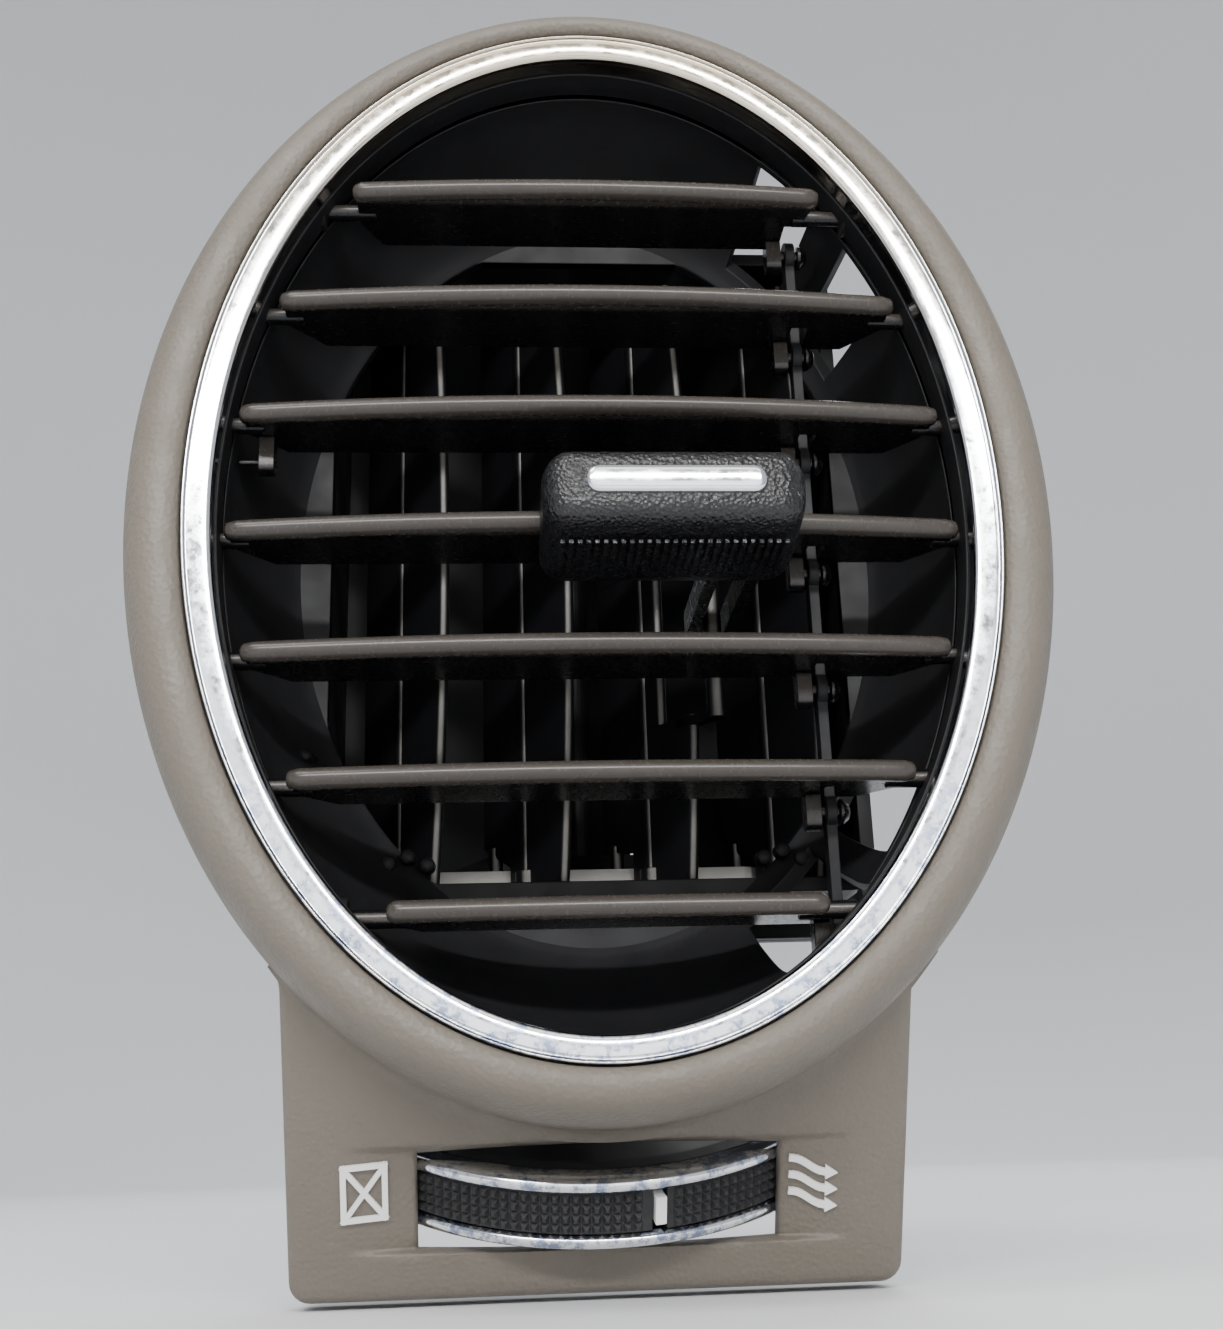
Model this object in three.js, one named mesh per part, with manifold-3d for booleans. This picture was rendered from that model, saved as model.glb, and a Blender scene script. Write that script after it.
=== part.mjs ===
// Oval air outlet for a car dashboard: bezel with bright ring, linked horizontal and vertical vanes,
// a sliding knob, and a thumbwheel that works a damper in the duct behind.
// Millimetres. X to the right seen from the seat, +Y into the dashboard, +Z up.
// The origin is the centre of the oval opening, in the plane of the opening's edge.
import * as THREE from 'three';
import { mergeVertices } from 'three/addons/utils/BufferGeometryUtils.js';
import Module from 'manifold-3d';

const wasm = await Module();
wasm.setup();

// ---------- driving dimensions ----------
const OPENING = { a: 41.6, b: 57.3 };             // half width and half height of the opening
const TRIM_OUT = { a: 44.9, b: 60.4 };            // outer edge of the bright ring
const BEZEL_OUT = { a: 51.9, top: 64.4, bottom: 66.0 };
const BEZEL_REAR_Y = 17.0;
const OVAL_STEPS = 56;

const PLATE_TILT = 27 * Math.PI / 180;            // the plate leans back towards its lower edge
const PLATE_HINGE = { y: 5.6, z: -46.75 };        // a line on the plate's front face
const PLATE_X = [-33.9, 32.4];
const PLATE_BOTTOM_Z = -82.7;
const PLATE_REAR_Y = 32.0;
const PLATE_SKIN = 2.4;
const SLOT_X = [-20.2, 18.6];
const SLOT_V = [-34.6, -23.2];                    // up the plate from the hinge line
const DISH_RADIUS = 150;
const DISH_HALF_X = 27.2;

const COLLAR_A = 41.4;                            // inner half width of the black oval collar
const COLLAR_B = 57.1;
const COLLAR_END_Y = 7.5;
const WALL = 1.7;
const BOX_X = 31.0;                               // inner half width of the vertical vanes' frame
const BOX_Z = [-38.5, 42.5];
const BOX_Y = [21.5, 43.0];
const LEDGE_T = 1.4;                              // step at the front of the vanes' frame

const HVANE_COUNT = 7;
const HVANE_PITCH = 14.0;
const HVANE_Z0 = -2.7;                            // height of the middle vane
const HVANE_PIVOT_Y = 6.0;
const HVANE_REAR_Y = 11.8;
const NOSING_R = 1.15;
const BLADE_T = 1.3;
const HLINK_X = 24.6;
const HPIN = { y: 10.7, dz: -2.6, r: 0.85 };
const HVANE_SWING = 2.7;                          // room above and below a vane's ends when it tilts

const VVANE_COUNT = 4;
const VVANE_PITCH = 15.2;
const VVANE_PIVOT_Y = 32.0;
const VVANE_FRONT = 10.0;
const VVANE_REAR = 9.0;
const VVANE_BULGE = 2.1;                          // the front edge falls back this far at its ends
const VVANE_T = 1.4;
const VVANE_YAW = 34 * Math.PI / 180;             // at rest the front edges stand to the right
const VLINK_R = 7.0;
const DRIVER_R = 13.0;
const DRIVER_VANE = 2;

const KNOB_X = 7.3;                               // the knob rests right of centre
const KNOB_HALF = 13.8;
const KNOB_Y = [-11.0, 1.8];
const KNOB_Z = [-8.4, 0.8];
const FORK_X = KNOB_X + VVANE_PITCH / 2;          // middle of the fork behind the knob

const WHEEL_V = -29.4;
const WHEEL_R = 32.8;
const WHEEL_PROUD = 3.7;
const WHEEL_X = -0.8;
const INDICATOR_TURN = 11 * Math.PI / 180;
const CRANK_R = 8.0;
const WHEEL_SECTOR = [-1, 40];                    // the wheel is cut off just behind its axle

const NECK_X = 12.4;                              // inner half width of the rear neck
const NECK_Z = [-30.0, 34.0];
const DAMPER_Y = 57.5;
const DUCT_REAR_Y = 74.0;
const SHOULDER_END_Y = 52.0;
const DAMPER_TURN = 51 * Math.PI / 180;           // opened this far from shut at rest

const SCREW_SPOTS = [[-46.3, -4], [46.3, -4], [-16, 57.3], [16, 57.3]];
const CLIP_X = [-24, 24];

// ---------- solids ----------
function toManifold(geometry) {
  const bare = geometry.clone();
  for (const name of Object.keys(bare.attributes)) {
    if (name !== 'position') {
      bare.deleteAttribute(name);
    }
  }
  const merged = mergeVertices(bare, 1e-4);
  const vertProperties = new Float32Array(merged.attributes.position.array);
  const triVerts = new Uint32Array(merged.index.array);
  if (signedVolume(vertProperties, triVerts) < 0) {
    triVerts.reverse();
  }
  return new wasm.Manifold(new wasm.Mesh({ numProp: 3, vertProperties, triVerts }));
}

// Positive when the faces look outwards.
function signedVolume(positions, triangles) {
  const corner = (n) => new THREE.Vector3(positions[3 * n], positions[3 * n + 1], positions[3 * n + 2]);
  let sum = 0;
  for (let i = 0; i < triangles.length; i += 3) {
    sum += corner(triangles[i]).dot(corner(triangles[i + 1]).cross(corner(triangles[i + 2])));
  }
  return sum / 6;
}

function toGeometry(manifold) {
  const mesh = manifold.getMesh();
  const stride = mesh.numProp;
  const positions = new Float32Array(mesh.numVert * 3);
  for (let i = 0; i < mesh.numVert; i += 1) {
    positions[3 * i] = mesh.vertProperties[stride * i];
    positions[3 * i + 1] = mesh.vertProperties[stride * i + 1];
    positions[3 * i + 2] = mesh.vertProperties[stride * i + 2];
  }
  const geometry = new THREE.BufferGeometry();
  geometry.setAttribute('position', new THREE.BufferAttribute(positions, 3));
  geometry.setIndex(new THREE.BufferAttribute(new Uint32Array(mesh.triVerts), 1));
  geometry.computeVertexNormals();
  return geometry;
}

function unite(solids) {
  return solids.reduce((sum, solid) => sum.add(solid));
}

function block(x, y, z) {
  const geometry = new THREE.BoxGeometry(x[1] - x[0], y[1] - y[0], z[1] - z[0]);
  geometry.translate((x[0] + x[1]) / 2, (y[0] + y[1]) / 2, (z[0] + z[1]) / 2);
  return toManifold(geometry);
}

// A straight round bar from one point to another.
function bar(from, to, radius, steps = 20) {
  const start = new THREE.Vector3(...from);
  const end = new THREE.Vector3(...to);
  const along = end.clone().sub(start);
  const geometry = new THREE.CylinderGeometry(radius, radius, along.length(), steps);
  const upright = new THREE.Vector3(0, 1, 0);
  const turn = new THREE.Quaternion().setFromUnitVectors(upright, along.clone().normalize());
  geometry.applyQuaternion(turn);
  geometry.translate((start.x + end.x) / 2, (start.y + end.y) / 2, (start.z + end.z) / 2);
  return toManifold(geometry);
}

function extrude(points, depth, matrix) {
  const shape = new THREE.Shape(points.map(([x, y]) => new THREE.Vector2(x, y)));
  const geometry = new THREE.ExtrudeGeometry(shape, { depth, bevelEnabled: false, steps: 1 });
  if (matrix) {
    geometry.applyMatrix4(matrix);
  }
  return toManifold(geometry);
}

// A closed oval tube. Each profile point is [half width, upper half height, lower half height, depth].
function ovalLoft(profile) {
  const positions = [];
  const count = profile.length;
  for (let i = 0; i < OVAL_STEPS; i += 1) {
    const t = 2 * Math.PI * i / OVAL_STEPS;
    for (const [a, top, bottom, y] of profile) {
      positions.push(a * Math.cos(t), y, (Math.sin(t) >= 0 ? top : bottom) * Math.sin(t));
    }
  }
  const index = [];
  for (let i = 0; i < OVAL_STEPS; i += 1) {
    const next = (i + 1) % OVAL_STEPS;
    for (let k = 0; k < count; k += 1) {
      const k2 = (k + 1) % count;
      index.push(i * count + k, i * count + k2, next * count + k2);
      index.push(i * count + k, next * count + k2, next * count + k);
    }
  }
  const geometry = new THREE.BufferGeometry();
  geometry.setAttribute('position', new THREE.Float32BufferAttribute(positions, 3));
  geometry.setIndex(index);
  return toManifold(geometry);
}

// A solid oval bar along Y.
function ovalPrism(a, top, bottom, y) {
  const points = [];
  for (let i = 0; i < OVAL_STEPS; i += 1) {
    const t = 2 * Math.PI * i / OVAL_STEPS;
    points.push([a * Math.cos(t), (Math.sin(t) >= 0 ? top : bottom) * Math.sin(t)]);
  }
  return outlineAlongY(points, y);
}

// An outline given as [x, z] points, extruded from y[0] to y[1].
function outlineAlongY(points, y) {
  const basis = new THREE.Matrix4().makeBasis(
    new THREE.Vector3(1, 0, 0), new THREE.Vector3(0, 0, 1), new THREE.Vector3(0, -1, 0));
  basis.setPosition(0, y[1], 0);
  return extrude(points, y[1] - y[0], basis);
}

// An outline given as [x, y] points, extruded from z[0] to z[1].
function outlineAlongZ(points, z) {
  return extrude(points, z[1] - z[0], new THREE.Matrix4().makeTranslation(0, 0, z[0]));
}

// An outline given as [y, z] points, extruded from x[0] to x[1].
function outlineAlongX(points, x) {
  const basis = new THREE.Matrix4().makeBasis(
    new THREE.Vector3(0, 1, 0), new THREE.Vector3(0, 0, 1), new THREE.Vector3(1, 0, 0));
  basis.setPosition(x[0], 0, 0);
  return extrude(points, x[1] - x[0], basis);
}

function roundedRectangle(x, z, radius, steps = 3) {
  const corners = [[x[1] - radius, z[1] - radius, 0], [x[0] + radius, z[1] - radius, 1],
    [x[0] + radius, z[0] + radius, 2], [x[1] - radius, z[0] + radius, 3]];
  const points = [];
  for (const [cx, cz, quarter] of corners) {
    for (let i = 0; i <= steps; i += 1) {
      const t = (quarter + i / steps) * Math.PI / 2;
      points.push([cx + radius * Math.cos(t), cz + radius * Math.sin(t)]);
    }
  }
  return points;
}

// ---------- frames ----------
// Plate frame: x across, v up the plate, h out of its front face.
function plateFrame(x, v, h) {
  const s = Math.sin(PLATE_TILT);
  const c = Math.cos(PLATE_TILT);
  const matrix = new THREE.Matrix4().makeBasis(
    new THREE.Vector3(1, 0, 0), new THREE.Vector3(0, -s, c), new THREE.Vector3(0, -c, -s));
  matrix.setPosition(x, PLATE_HINGE.y - v * s - h * c, PLATE_HINGE.z + v * c - h * s);
  return matrix;
}

// Wheel frame: origin at the wheel's centre, second axis along its axle, third axis out of the slot.
const WHEEL_DEPTH = WHEEL_R - WHEEL_PROUD;
const WHEEL_FRAME = plateFrame(WHEEL_X, WHEEL_V, -WHEEL_DEPTH);

function inWheel(x, v, h) {
  return new THREE.Vector3(x, v, h).applyMatrix4(WHEEL_FRAME).toArray();
}

function wheelLathe(profile, steps = 44) {
  const closed = [...profile, profile[0]].map(([r, v]) => new THREE.Vector2(r, v));
  const geometry = new THREE.LatheGeometry(closed, steps);
  geometry.applyMatrix4(WHEEL_FRAME);
  return toManifold(geometry);
}

function wheelBlock(x, v, h) {
  const geometry = new THREE.BoxGeometry(x[1] - x[0], v[1] - v[0], h[1] - h[0]);
  geometry.translate((x[0] + x[1]) / 2, (v[0] + v[1]) / 2, (h[0] + h[1]) / 2);
  geometry.applyMatrix4(WHEEL_FRAME);
  return toManifold(geometry);
}

// ---------- materials ----------
function material(color, roughness, metalness) {
  return new THREE.MeshStandardMaterial({ color, roughness, metalness });
}

const TAUPE = material(0x968c80, 0.62, 0.0);
const CHROME = material(0xd8dade, 0.12, 1.0);
const BLACK = material(0x17171a, 0.45, 0.0);
const VANE = material(0x3a3430, 0.4, 0.1);
const KNOB = material(0x1a1a1c, 0.35, 0.0);
const RUBBER = material(0x1c1c1e, 0.8, 0.0);
const WHITE = material(0xeeeeea, 0.5, 0.0);
const STEEL = material(0x9fa3a6, 0.35, 1.0);
const FOAM = material(0x2b2c2e, 0.95, 0.0);
const NYLON = material(0xc9c6bd, 0.5, 0.0);

const group = new THREE.Group();
group.name = 'air_outlet';

function addPart(name, manifold, look) {
  const mesh = new THREE.Mesh(toGeometry(manifold), look);
  mesh.name = name;
  group.add(mesh);
}

// ---------- bezel, ring and symbols ----------
function bezelRing() {
  const across = (u, y) => [
    TRIM_OUT.a + u * (BEZEL_OUT.a - TRIM_OUT.a),
    TRIM_OUT.b + u * (BEZEL_OUT.top - TRIM_OUT.b),
    TRIM_OUT.b + u * (BEZEL_OUT.bottom - TRIM_OUT.b), y];
  return ovalLoft([
    across(0.0, 3.0), across(0.0, -0.3), across(0.1, -0.9), across(0.26, -1.25), across(0.44, -1.15),
    across(0.62, -0.5), across(0.78, 0.8), across(0.9, 2.6), across(0.97, 4.8), across(1.0, 7.6),
    across(1.0, BEZEL_REAR_Y), across(0.68, BEZEL_REAR_Y), across(0.68, 8.0), across(0.6, 5.0),
    [43.7, 59.3, 59.3, 5.0], [43.7, 59.3, 59.3, 3.0]]);
}

// Everything behind the plate's front face moved out by `offset`.
function behindPlate(offset) {
  const reach = 120;
  const points = [[-reach, -reach], [reach, -reach], [reach, reach], [-reach, reach]];
  return extrude(points, reach, plateFrame(0, -20, offset - reach));
}

// The shallow dish on both sides of the slot, moved out by `offset`.
function dish(offset) {
  const centre = Math.sqrt(DISH_RADIUS ** 2 - DISH_HALF_X ** 2) + offset;
  const points = [];
  const steps = 24;
  for (let i = 0; i <= steps; i += 1) {
    const x = -DISH_HALF_X + 2 * DISH_HALF_X * i / steps;
    points.push([x, centre - Math.sqrt(DISH_RADIUS ** 2 - x ** 2)]);
  }
  points.push([DISH_HALF_X, 6], [-DISH_HALF_X, 6]);
  const s = Math.sin(PLATE_TILT);
  const c = Math.cos(PLATE_TILT);
  const v0 = SLOT_V[0] - 0.4;
  const basis = new THREE.Matrix4().makeBasis(
    new THREE.Vector3(1, 0, 0), new THREE.Vector3(0, -c, -s), new THREE.Vector3(0, s, -c));
  const middle = (SLOT_X[0] + SLOT_X[1]) / 2;
  const length = SLOT_V[1] - SLOT_V[0] + 0.8;
  const top = v0 + length;
  basis.setPosition(middle, PLATE_HINGE.y - top * s, PLATE_HINGE.z + top * c);
  return extrude(points, length, basis);
}

function slotPrism() {
  const [x0, x1] = SLOT_X;
  const middle = (x0 + x1) / 2;
  const half = (x1 - x0) / 2;
  const points = [];
  const steps = 12;
  for (let i = 0; i <= steps; i += 1) {
    const u = -1 + 2 * i / steps;
    points.push([middle + u * half, SLOT_V[0] - 0.5 * (1 - u * u) + 0.3]);
  }
  for (let i = steps; i >= 0; i -= 1) {
    const u = -1 + 2 * i / steps;
    points.push([middle + u * half, SLOT_V[1] + 0.5 * (1 - u * u) - 0.3]);
  }
  return extrude(points, 24, plateFrame(0, 0, -14));
}

function plateSolid() {
  const outline = roundedRectangle(PLATE_X, [PLATE_BOTTOM_Z, -36], 2.2);
  const inner = roundedRectangle([PLATE_X[0] + 2, PLATE_X[1] - 2], [PLATE_BOTTOM_Z + 2, -30], 1.2);
  const outer = outlineAlongY(outline, [-10, PLATE_REAR_Y]).intersect(behindPlate(0));
  const hollow = outlineAlongY(inner, [-10, PLATE_REAR_Y + 10]).intersect(behindPlate(-PLATE_SKIN));
  const middle = (SLOT_X[0] + SLOT_X[1]) / 2;
  const padOutline = roundedRectangle([middle - 29.5, middle + 29.5], [SLOT_V[0] - 3, SLOT_V[1] + 3], 2);
  const pad = extrude(padOutline, 4.4, plateFrame(0, 0, -5.6));
  return outer.subtract(hollow).add(pad);
}

function bezelPlate() {
  const ringHollow = ovalPrism(BEZEL_OUT.a - 1.1, BEZEL_OUT.top - 1.0, BEZEL_OUT.bottom - 1.0, [-20, 60]);
  const wheelRoom = wheelLathe([[0.5, -5.2], [WHEEL_R + 0.65, -5.2], [WHEEL_R + 0.65, 5.4], [0.5, 5.4]]);
  const cuts = unite([dish(0), slotPrism(), ringHollow, wheelRoom]);
  return plateSolid().subtract(cuts).subtract(bezelRing());
}

function trimRing() {
  const [a, b] = [OPENING.a, OPENING.b];
  const [oa, ob] = [TRIM_OUT.a - 0.3, TRIM_OUT.b - 0.3];
  const at = (u, y) => [a + u * (oa - a), b + u * (ob - b), b + u * (ob - b), y];
  return ovalLoft([at(0, 2.6), at(0, 0.5), at(0.08, 0.1), at(0.3, -0.15), at(0.6, -0.25), at(0.85, -0.3),
    at(0.95, -0.55), at(1, -0.3), at(1, 2.6)]);
}

// The thin layer over the plate and its dish in which the symbols are raised.
function symbolLayer() {
  const low = behindPlate(0.06).subtract(dish(0.06));
  const high = behindPlate(0.4).subtract(dish(0.4));
  return high.subtract(low);
}

function stroke(points, width) {
  const parts = [];
  for (let i = 0; i + 1 < points.length; i += 1) {
    const [ax, ay] = points[i];
    const [bx, by] = points[i + 1];
    const length = Math.hypot(bx - ax, by - ay);
    const ux = (bx - ax) / length;
    const uy = (by - ay) / length;
    const nx = -uy * width / 2;
    const ny = ux * width / 2;
    const ex = ux * width / 2;
    const ey = uy * width / 2;
    parts.push([[ax - ex - nx, ay - ey - ny], [bx + ex - nx, by + ey - ny],
      [bx + ex + nx, by + ey + ny], [ax - ex + nx, ay - ey + ny]]);
  }
  return unite(parts.map((outline) => extrude(outline, 8, plateFrame(0, 0, -4))));
}

function symbolClosed() {
  const [x0, x1, v0, v1] = [-27.8, -23.5, -30.9, -25.0];
  const lines = [stroke([[x0, v0], [x1, v0], [x1, v1], [x0, v1], [x0, v0]], 0.6),
    stroke([[x0, v0], [x1, v1]], 0.55), stroke([[x0, v1], [x1, v0]], 0.55)];
  return unite(lines).intersect(symbolLayer());
}

// One of three wavy arrows that lie above each other and point away from the wheel.
function symbolOpen(index) {
  const v = -25.9 - 1.9 * index;
  const drop = 1.4;
  const [start, end, tip] = [20.0, 23.5, 24.8];
  const line = [];
  const steps = 10;
  for (let i = 0; i <= steps; i += 1) {
    const u = i / steps;
    line.push([start + (end - start) * u, v - drop * (1 - Math.cos(Math.PI * u)) / 2]);
  }
  const head = [[end, v - drop - 0.85], [tip, v - drop - 0.05], [end, v - drop + 0.8]];
  return stroke(line, 0.75).add(extrude(head, 8, plateFrame(0, 0, -4))).intersect(symbolLayer());
}

// ---------- shroud ----------
function hvaneZ(i) {
  return HVANE_Z0 + HVANE_PITCH * i;
}

function ovalHalfWidth(z, a, b) {
  return a * Math.sqrt(Math.max(0, 1 - (z / b) ** 2));
}

function funnel() {
  const inner = [[COLLAR_A, COLLAR_B, 2.9], [COLLAR_A, COLLAR_B, 7.5], [40.6, 55.9, 11.0],
    [38.6, 52.6, 16.0], [36.0, 48.4, 20.0], [34.4, 45.8, 21.5]];
  const profile = inner.map(([a, b, y]) => [a, b, b, y]);
  profile.push([37.0, 49.6, 49.6, 21.5]);
  for (const [a, b, y] of inner.slice(0, 5).reverse()) {
    profile.push([a + WALL, b + WALL, b + WALL, y + (y > 10 ? 0.6 : 0)]);
  }
  return ovalLoft(profile);
}

// A wedge of the funnel wall between two angles, removed to leave a corner opening.
function cornerWedge(from, to, y0, sideX, sideZ) {
  const at = (degrees, scale) => {
    const t = degrees * Math.PI / 180;
    return [sideX * scale * 42 * Math.cos(t), sideZ * scale * 57 * Math.sin(t)];
  };
  const points = [at(from, 0.86), at(from, 1.08), at((from + to) / 2, 1.09), at(to, 1.08),
    at(to, 0.86), at((from + to) / 2, 0.87)];
  if (sideX * sideZ < 0) {
    points.reverse();
  }
  return outlineAlongY(points, [y0, 20.6]);
}

// Holes for the pivots of the horizontal vanes, ending just past the funnel's wall.
function pivotHoles() {
  const holes = [];
  for (let i = -3; i <= 3; i += 1) {
    const z = hvaneZ(i);
    const reach = ovalHalfWidth(Math.abs(z), COLLAR_A, COLLAR_B) + 1.9;
    holes.push(bar([-reach, HVANE_PIVOT_Y, z], [reach, HVANE_PIVOT_Y, z], 1.35, 10));
  }
  return holes;
}

// Flat oval collar that carries the funnel behind the bezel.
function mountFlange() {
  const [a, b] = [COLLAR_A + WALL, COLLAR_B + WALL];
  const plate = ovalLoft([[a, b, b, 5.4], [48.9, 62.3, 63.6, 5.4], [48.9, 62.3, 63.6, 7.2], [a, b, b, 7.2]]);
  const screwHoles = SCREW_SPOTS.map(([x, z]) => bar([x, 4, z], [x, 8, z], 1.3, 10));
  return plate.subtract(unite([...screwHoles, ...pivotHoles()]));
}

// The funnel behind the opening, with two windows at each right-hand corner.
function shroud() {
  const windows = [];
  for (const sideZ of [-1, 1]) {
    windows.push(cornerWedge(31, 42, 8.2, 1, sideZ));
    windows.push(cornerWedge(47, 63, sideZ < 0 ? 7.25 : 8.2, 1, sideZ));
  }
  return funnel().subtract(unite([...windows, ...pivotHoles()]));
}

// The shroud is made in two lengths that meet behind the pivots of the horizontal vanes.
function shroudCollar() {
  return shroud().intersect(block([-80, 80], [0, COLLAR_END_Y], [-80, 80]));
}

function shroudFunnel() {
  return shroud().intersect(block([-80, 80], [COLLAR_END_Y, 80], [-80, 80]));
}

// Box behind the funnel that holds the vertical vanes, with its front ledge and rear lip.
function vaneFrame() {
  const inner = roundedRectangle([-BOX_X, BOX_X], BOX_Z, 1.6);
  const outer = roundedRectangle([-BOX_X - WALL, BOX_X + WALL], [BOX_Z[0] - WALL, BOX_Z[1] + WALL], 3);
  const lip = roundedRectangle([-BOX_X - 4.5, BOX_X + 4.5], [BOX_Z[0] - 4.5, BOX_Z[1] + 4.5], 4);
  const ledge = ovalPrism(37.0, 49.6, 49.6, [BOX_Y[0], BOX_Y[0] + LEDGE_T]);
  const walls = outlineAlongY(outer, BOX_Y);
  const rearLip = outlineAlongY(lip, [BOX_Y[1] - 2, BOX_Y[1]]);
  const bracketSeat = block([-14, 14], [26, 41.0], [BOX_Z[0] - WALL - 1.2, BOX_Z[0] - WALL + 0.4]);
  const airway = ovalPrism(34.4, 45.8, 45.8, [10, 60]).intersect(outlineAlongY(inner, [10, 60]));
  const room = outlineAlongY(inner, [BOX_Y[0] + LEDGE_T, 60]);
  const holes = vvaneXs().map((x) => bar([x, VVANE_PIVOT_Y, -60], [x, VVANE_PIVOT_Y, 60], 1.35, 10));
  return unite([ledge, walls, rearLip, bracketSeat]).subtract(unite([airway, room, ...holes]));
}

// ---------- horizontal vanes ----------
function hvaneHalf(i) {
  return ovalHalfWidth(Math.abs(hvaneZ(i)) + HVANE_SWING, COLLAR_A, COLLAR_B) - 0.5;
}

function nosingY(x) {
  return 0.75 + 2.8 * (x / COLLAR_A) ** 2;
}

function nosing(i) {
  const half = hvaneHalf(i) - 0.3;
  const z = hvaneZ(i);
  const rings = 12;
  const around = 10;
  const positions = [];
  for (let j = 0; j <= rings; j += 1) {
    const x = -half + 2 * half * j / rings;
    for (let k = 0; k < around; k += 1) {
      const t = 2 * Math.PI * k / around;
      positions.push(x, nosingY(x) + NOSING_R * Math.cos(t), z + NOSING_R * Math.sin(t));
    }
  }
  positions.push(-half - 0.3, nosingY(half), z, half + 0.3, nosingY(half), z);
  const index = [];
  for (let j = 0; j < rings; j += 1) {
    for (let k = 0; k < around; k += 1) {
      const k2 = (k + 1) % around;
      index.push(j * around + k, (j + 1) * around + k, (j + 1) * around + k2);
      index.push(j * around + k, (j + 1) * around + k2, j * around + k2);
    }
  }
  const left = positions.length / 3 - 2;
  for (let k = 0; k < around; k += 1) {
    const k2 = (k + 1) % around;
    index.push(left, k, k2);
    index.push(left + 1, rings * around + k2, rings * around + k);
  }
  const geometry = new THREE.BufferGeometry();
  geometry.setAttribute('position', new THREE.Float32BufferAttribute(positions, 3));
  geometry.setIndex(index);
  return toManifold(geometry);
}

function hvane(i) {
  const z = hvaneZ(i);
  const half = hvaneHalf(i);
  const rearHalf = half - (Math.abs(i) === 3 ? 3.0 : 4.5);
  const outline = [];
  const steps = 12;
  for (let j = 0; j <= steps; j += 1) {
    const x = -half + 2 * half * j / steps;
    outline.push([x * 0.995, nosingY(x) + 0.3]);
  }
  outline.push([half * 0.995, 7.2], [rearHalf, HVANE_REAR_Y]);
  outline.push([-rearHalf, HVANE_REAR_Y], [-half * 0.995, 7.2]);
  const blade = outlineAlongZ(outline, [z - BLADE_T / 2, z + BLADE_T / 2]);
  const wall = ovalHalfWidth(Math.abs(z), COLLAR_A, COLLAR_B);
  const pivots = [-1, 1].map((side) => bar(
    [side * (half - 2.5), HVANE_PIVOT_Y, z], [side * (wall + 1.5), HVANE_PIVOT_Y, z], 1.0, 10));
  const pinZ = z + HPIN.dz;
  const arm = block([HLINK_X - 6, HLINK_X - 0.4], [9.6, 11.8], [z - BLADE_T / 2, z + BLADE_T / 2]);
  const lugOutline = roundedRectangle([9.6, 11.9], [z - 4.5, z - 0.3], 0.8, 3);
  const lug = outlineAlongX(lugOutline, [HLINK_X - 2.2, HLINK_X - 0.4]);
  const pin = bar([HLINK_X - 1.0, HPIN.y, pinZ], [HLINK_X + 1.9, HPIN.y, pinZ], HPIN.r, 10);
  const head = bar([HLINK_X + 1.6, HPIN.y, pinZ], [HLINK_X + 2.8, HPIN.y, pinZ], 1.4, 10);
  const notch = block([HLINK_X - 0.35, HLINK_X + 1.55], [6.8, 14], [z - 1, z + 1]);
  return unite([nosing(i), unite([blade, arm]).subtract(notch), lug, pin, head, ...pivots]);
}

function hlinkBar() {
  const top = hvaneZ(3) + HPIN.dz + 2;
  const bottom = hvaneZ(-3) + HPIN.dz - 2;
  const outline = roundedRectangle([HPIN.y - 1.9, HPIN.y + 1.9], [bottom, top], 1.8);
  const body = outlineAlongX(outline, [HLINK_X, HLINK_X + 1.2]);
  const holes = [];
  for (let i = -3; i <= 3; i += 1) {
    const z = hvaneZ(i) + HPIN.dz;
    holes.push(bar([HLINK_X - 1, HPIN.y, z], [HLINK_X + 3, HPIN.y, z], HPIN.r + 0.3, 10));
  }
  return body.subtract(unite(holes));
}

// ---------- vertical vanes ----------
function vvaneXs() {
  const xs = [];
  for (let j = 0; j < VVANE_COUNT; j += 1) {
    xs.push((j - (VVANE_COUNT - 1) / 2) * VVANE_PITCH);
  }
  return xs;
}

// Vane in its own frame: pivot on the Z axis, front edge towards -Y, then turned and moved.
function vvane(j) {
  const low = BOX_Z[0] + 0.6;
  const high = BOX_Z[1] - 0.6;
  const middle = (low + high) / 2;
  const half = (high - low) / 2;
  const outline = [];
  const steps = 12;
  for (let i = 0; i <= steps; i += 1) {
    const z = low + (high - low) * i / steps;
    outline.push([-VVANE_FRONT + VVANE_BULGE * ((z - middle) / half) ** 2, z]);
  }
  outline.push([VVANE_REAR, high], [VVANE_REAR, low + 5.6], [3.2, low + 5.6], [3.2, low]);
  const blade = outlineAlongX(outline, [-VVANE_T / 2, VVANE_T / 2]);
  const parts = [blade];
  parts.push(bar([0, 0, low - 1.9], [0, 0, high + 1.9], 1.0, 16));
  const shoulder = bar([0, 0, low], [0, 0, low + 2.4], 1.6, 16);
  const pinEnd = bar([0, VLINK_R, low + 0.9], [0, VLINK_R, low + 6.4], 0.9, 14);
  parts.push(shoulder, pinEnd);
  let vane = unite(parts);
  if (j === DRIVER_VANE) {
    vane = vane.subtract(block([-3, 3], [-VVANE_FRONT - 3, -3.4], [-18.0, 3.2]));
    const post = bar([0, -DRIVER_R, -19.4], [0, -DRIVER_R, 4.6], 1.1, 16);
    const lower = block([-0.7, 0.7], [-DRIVER_R, -6], [-19.4, -18.2]);
    const upper = block([-0.7, 0.7], [-DRIVER_R, -6], [3.4, 4.6]);
    vane = unite([vane, post, lower, upper]);
  }
  const turn = THREE.MathUtils.radToDeg(VVANE_YAW);
  return vane.rotate([0, 0, turn]).translate([vvaneXs()[j], VVANE_PIVOT_Y, 0]);
}

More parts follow.
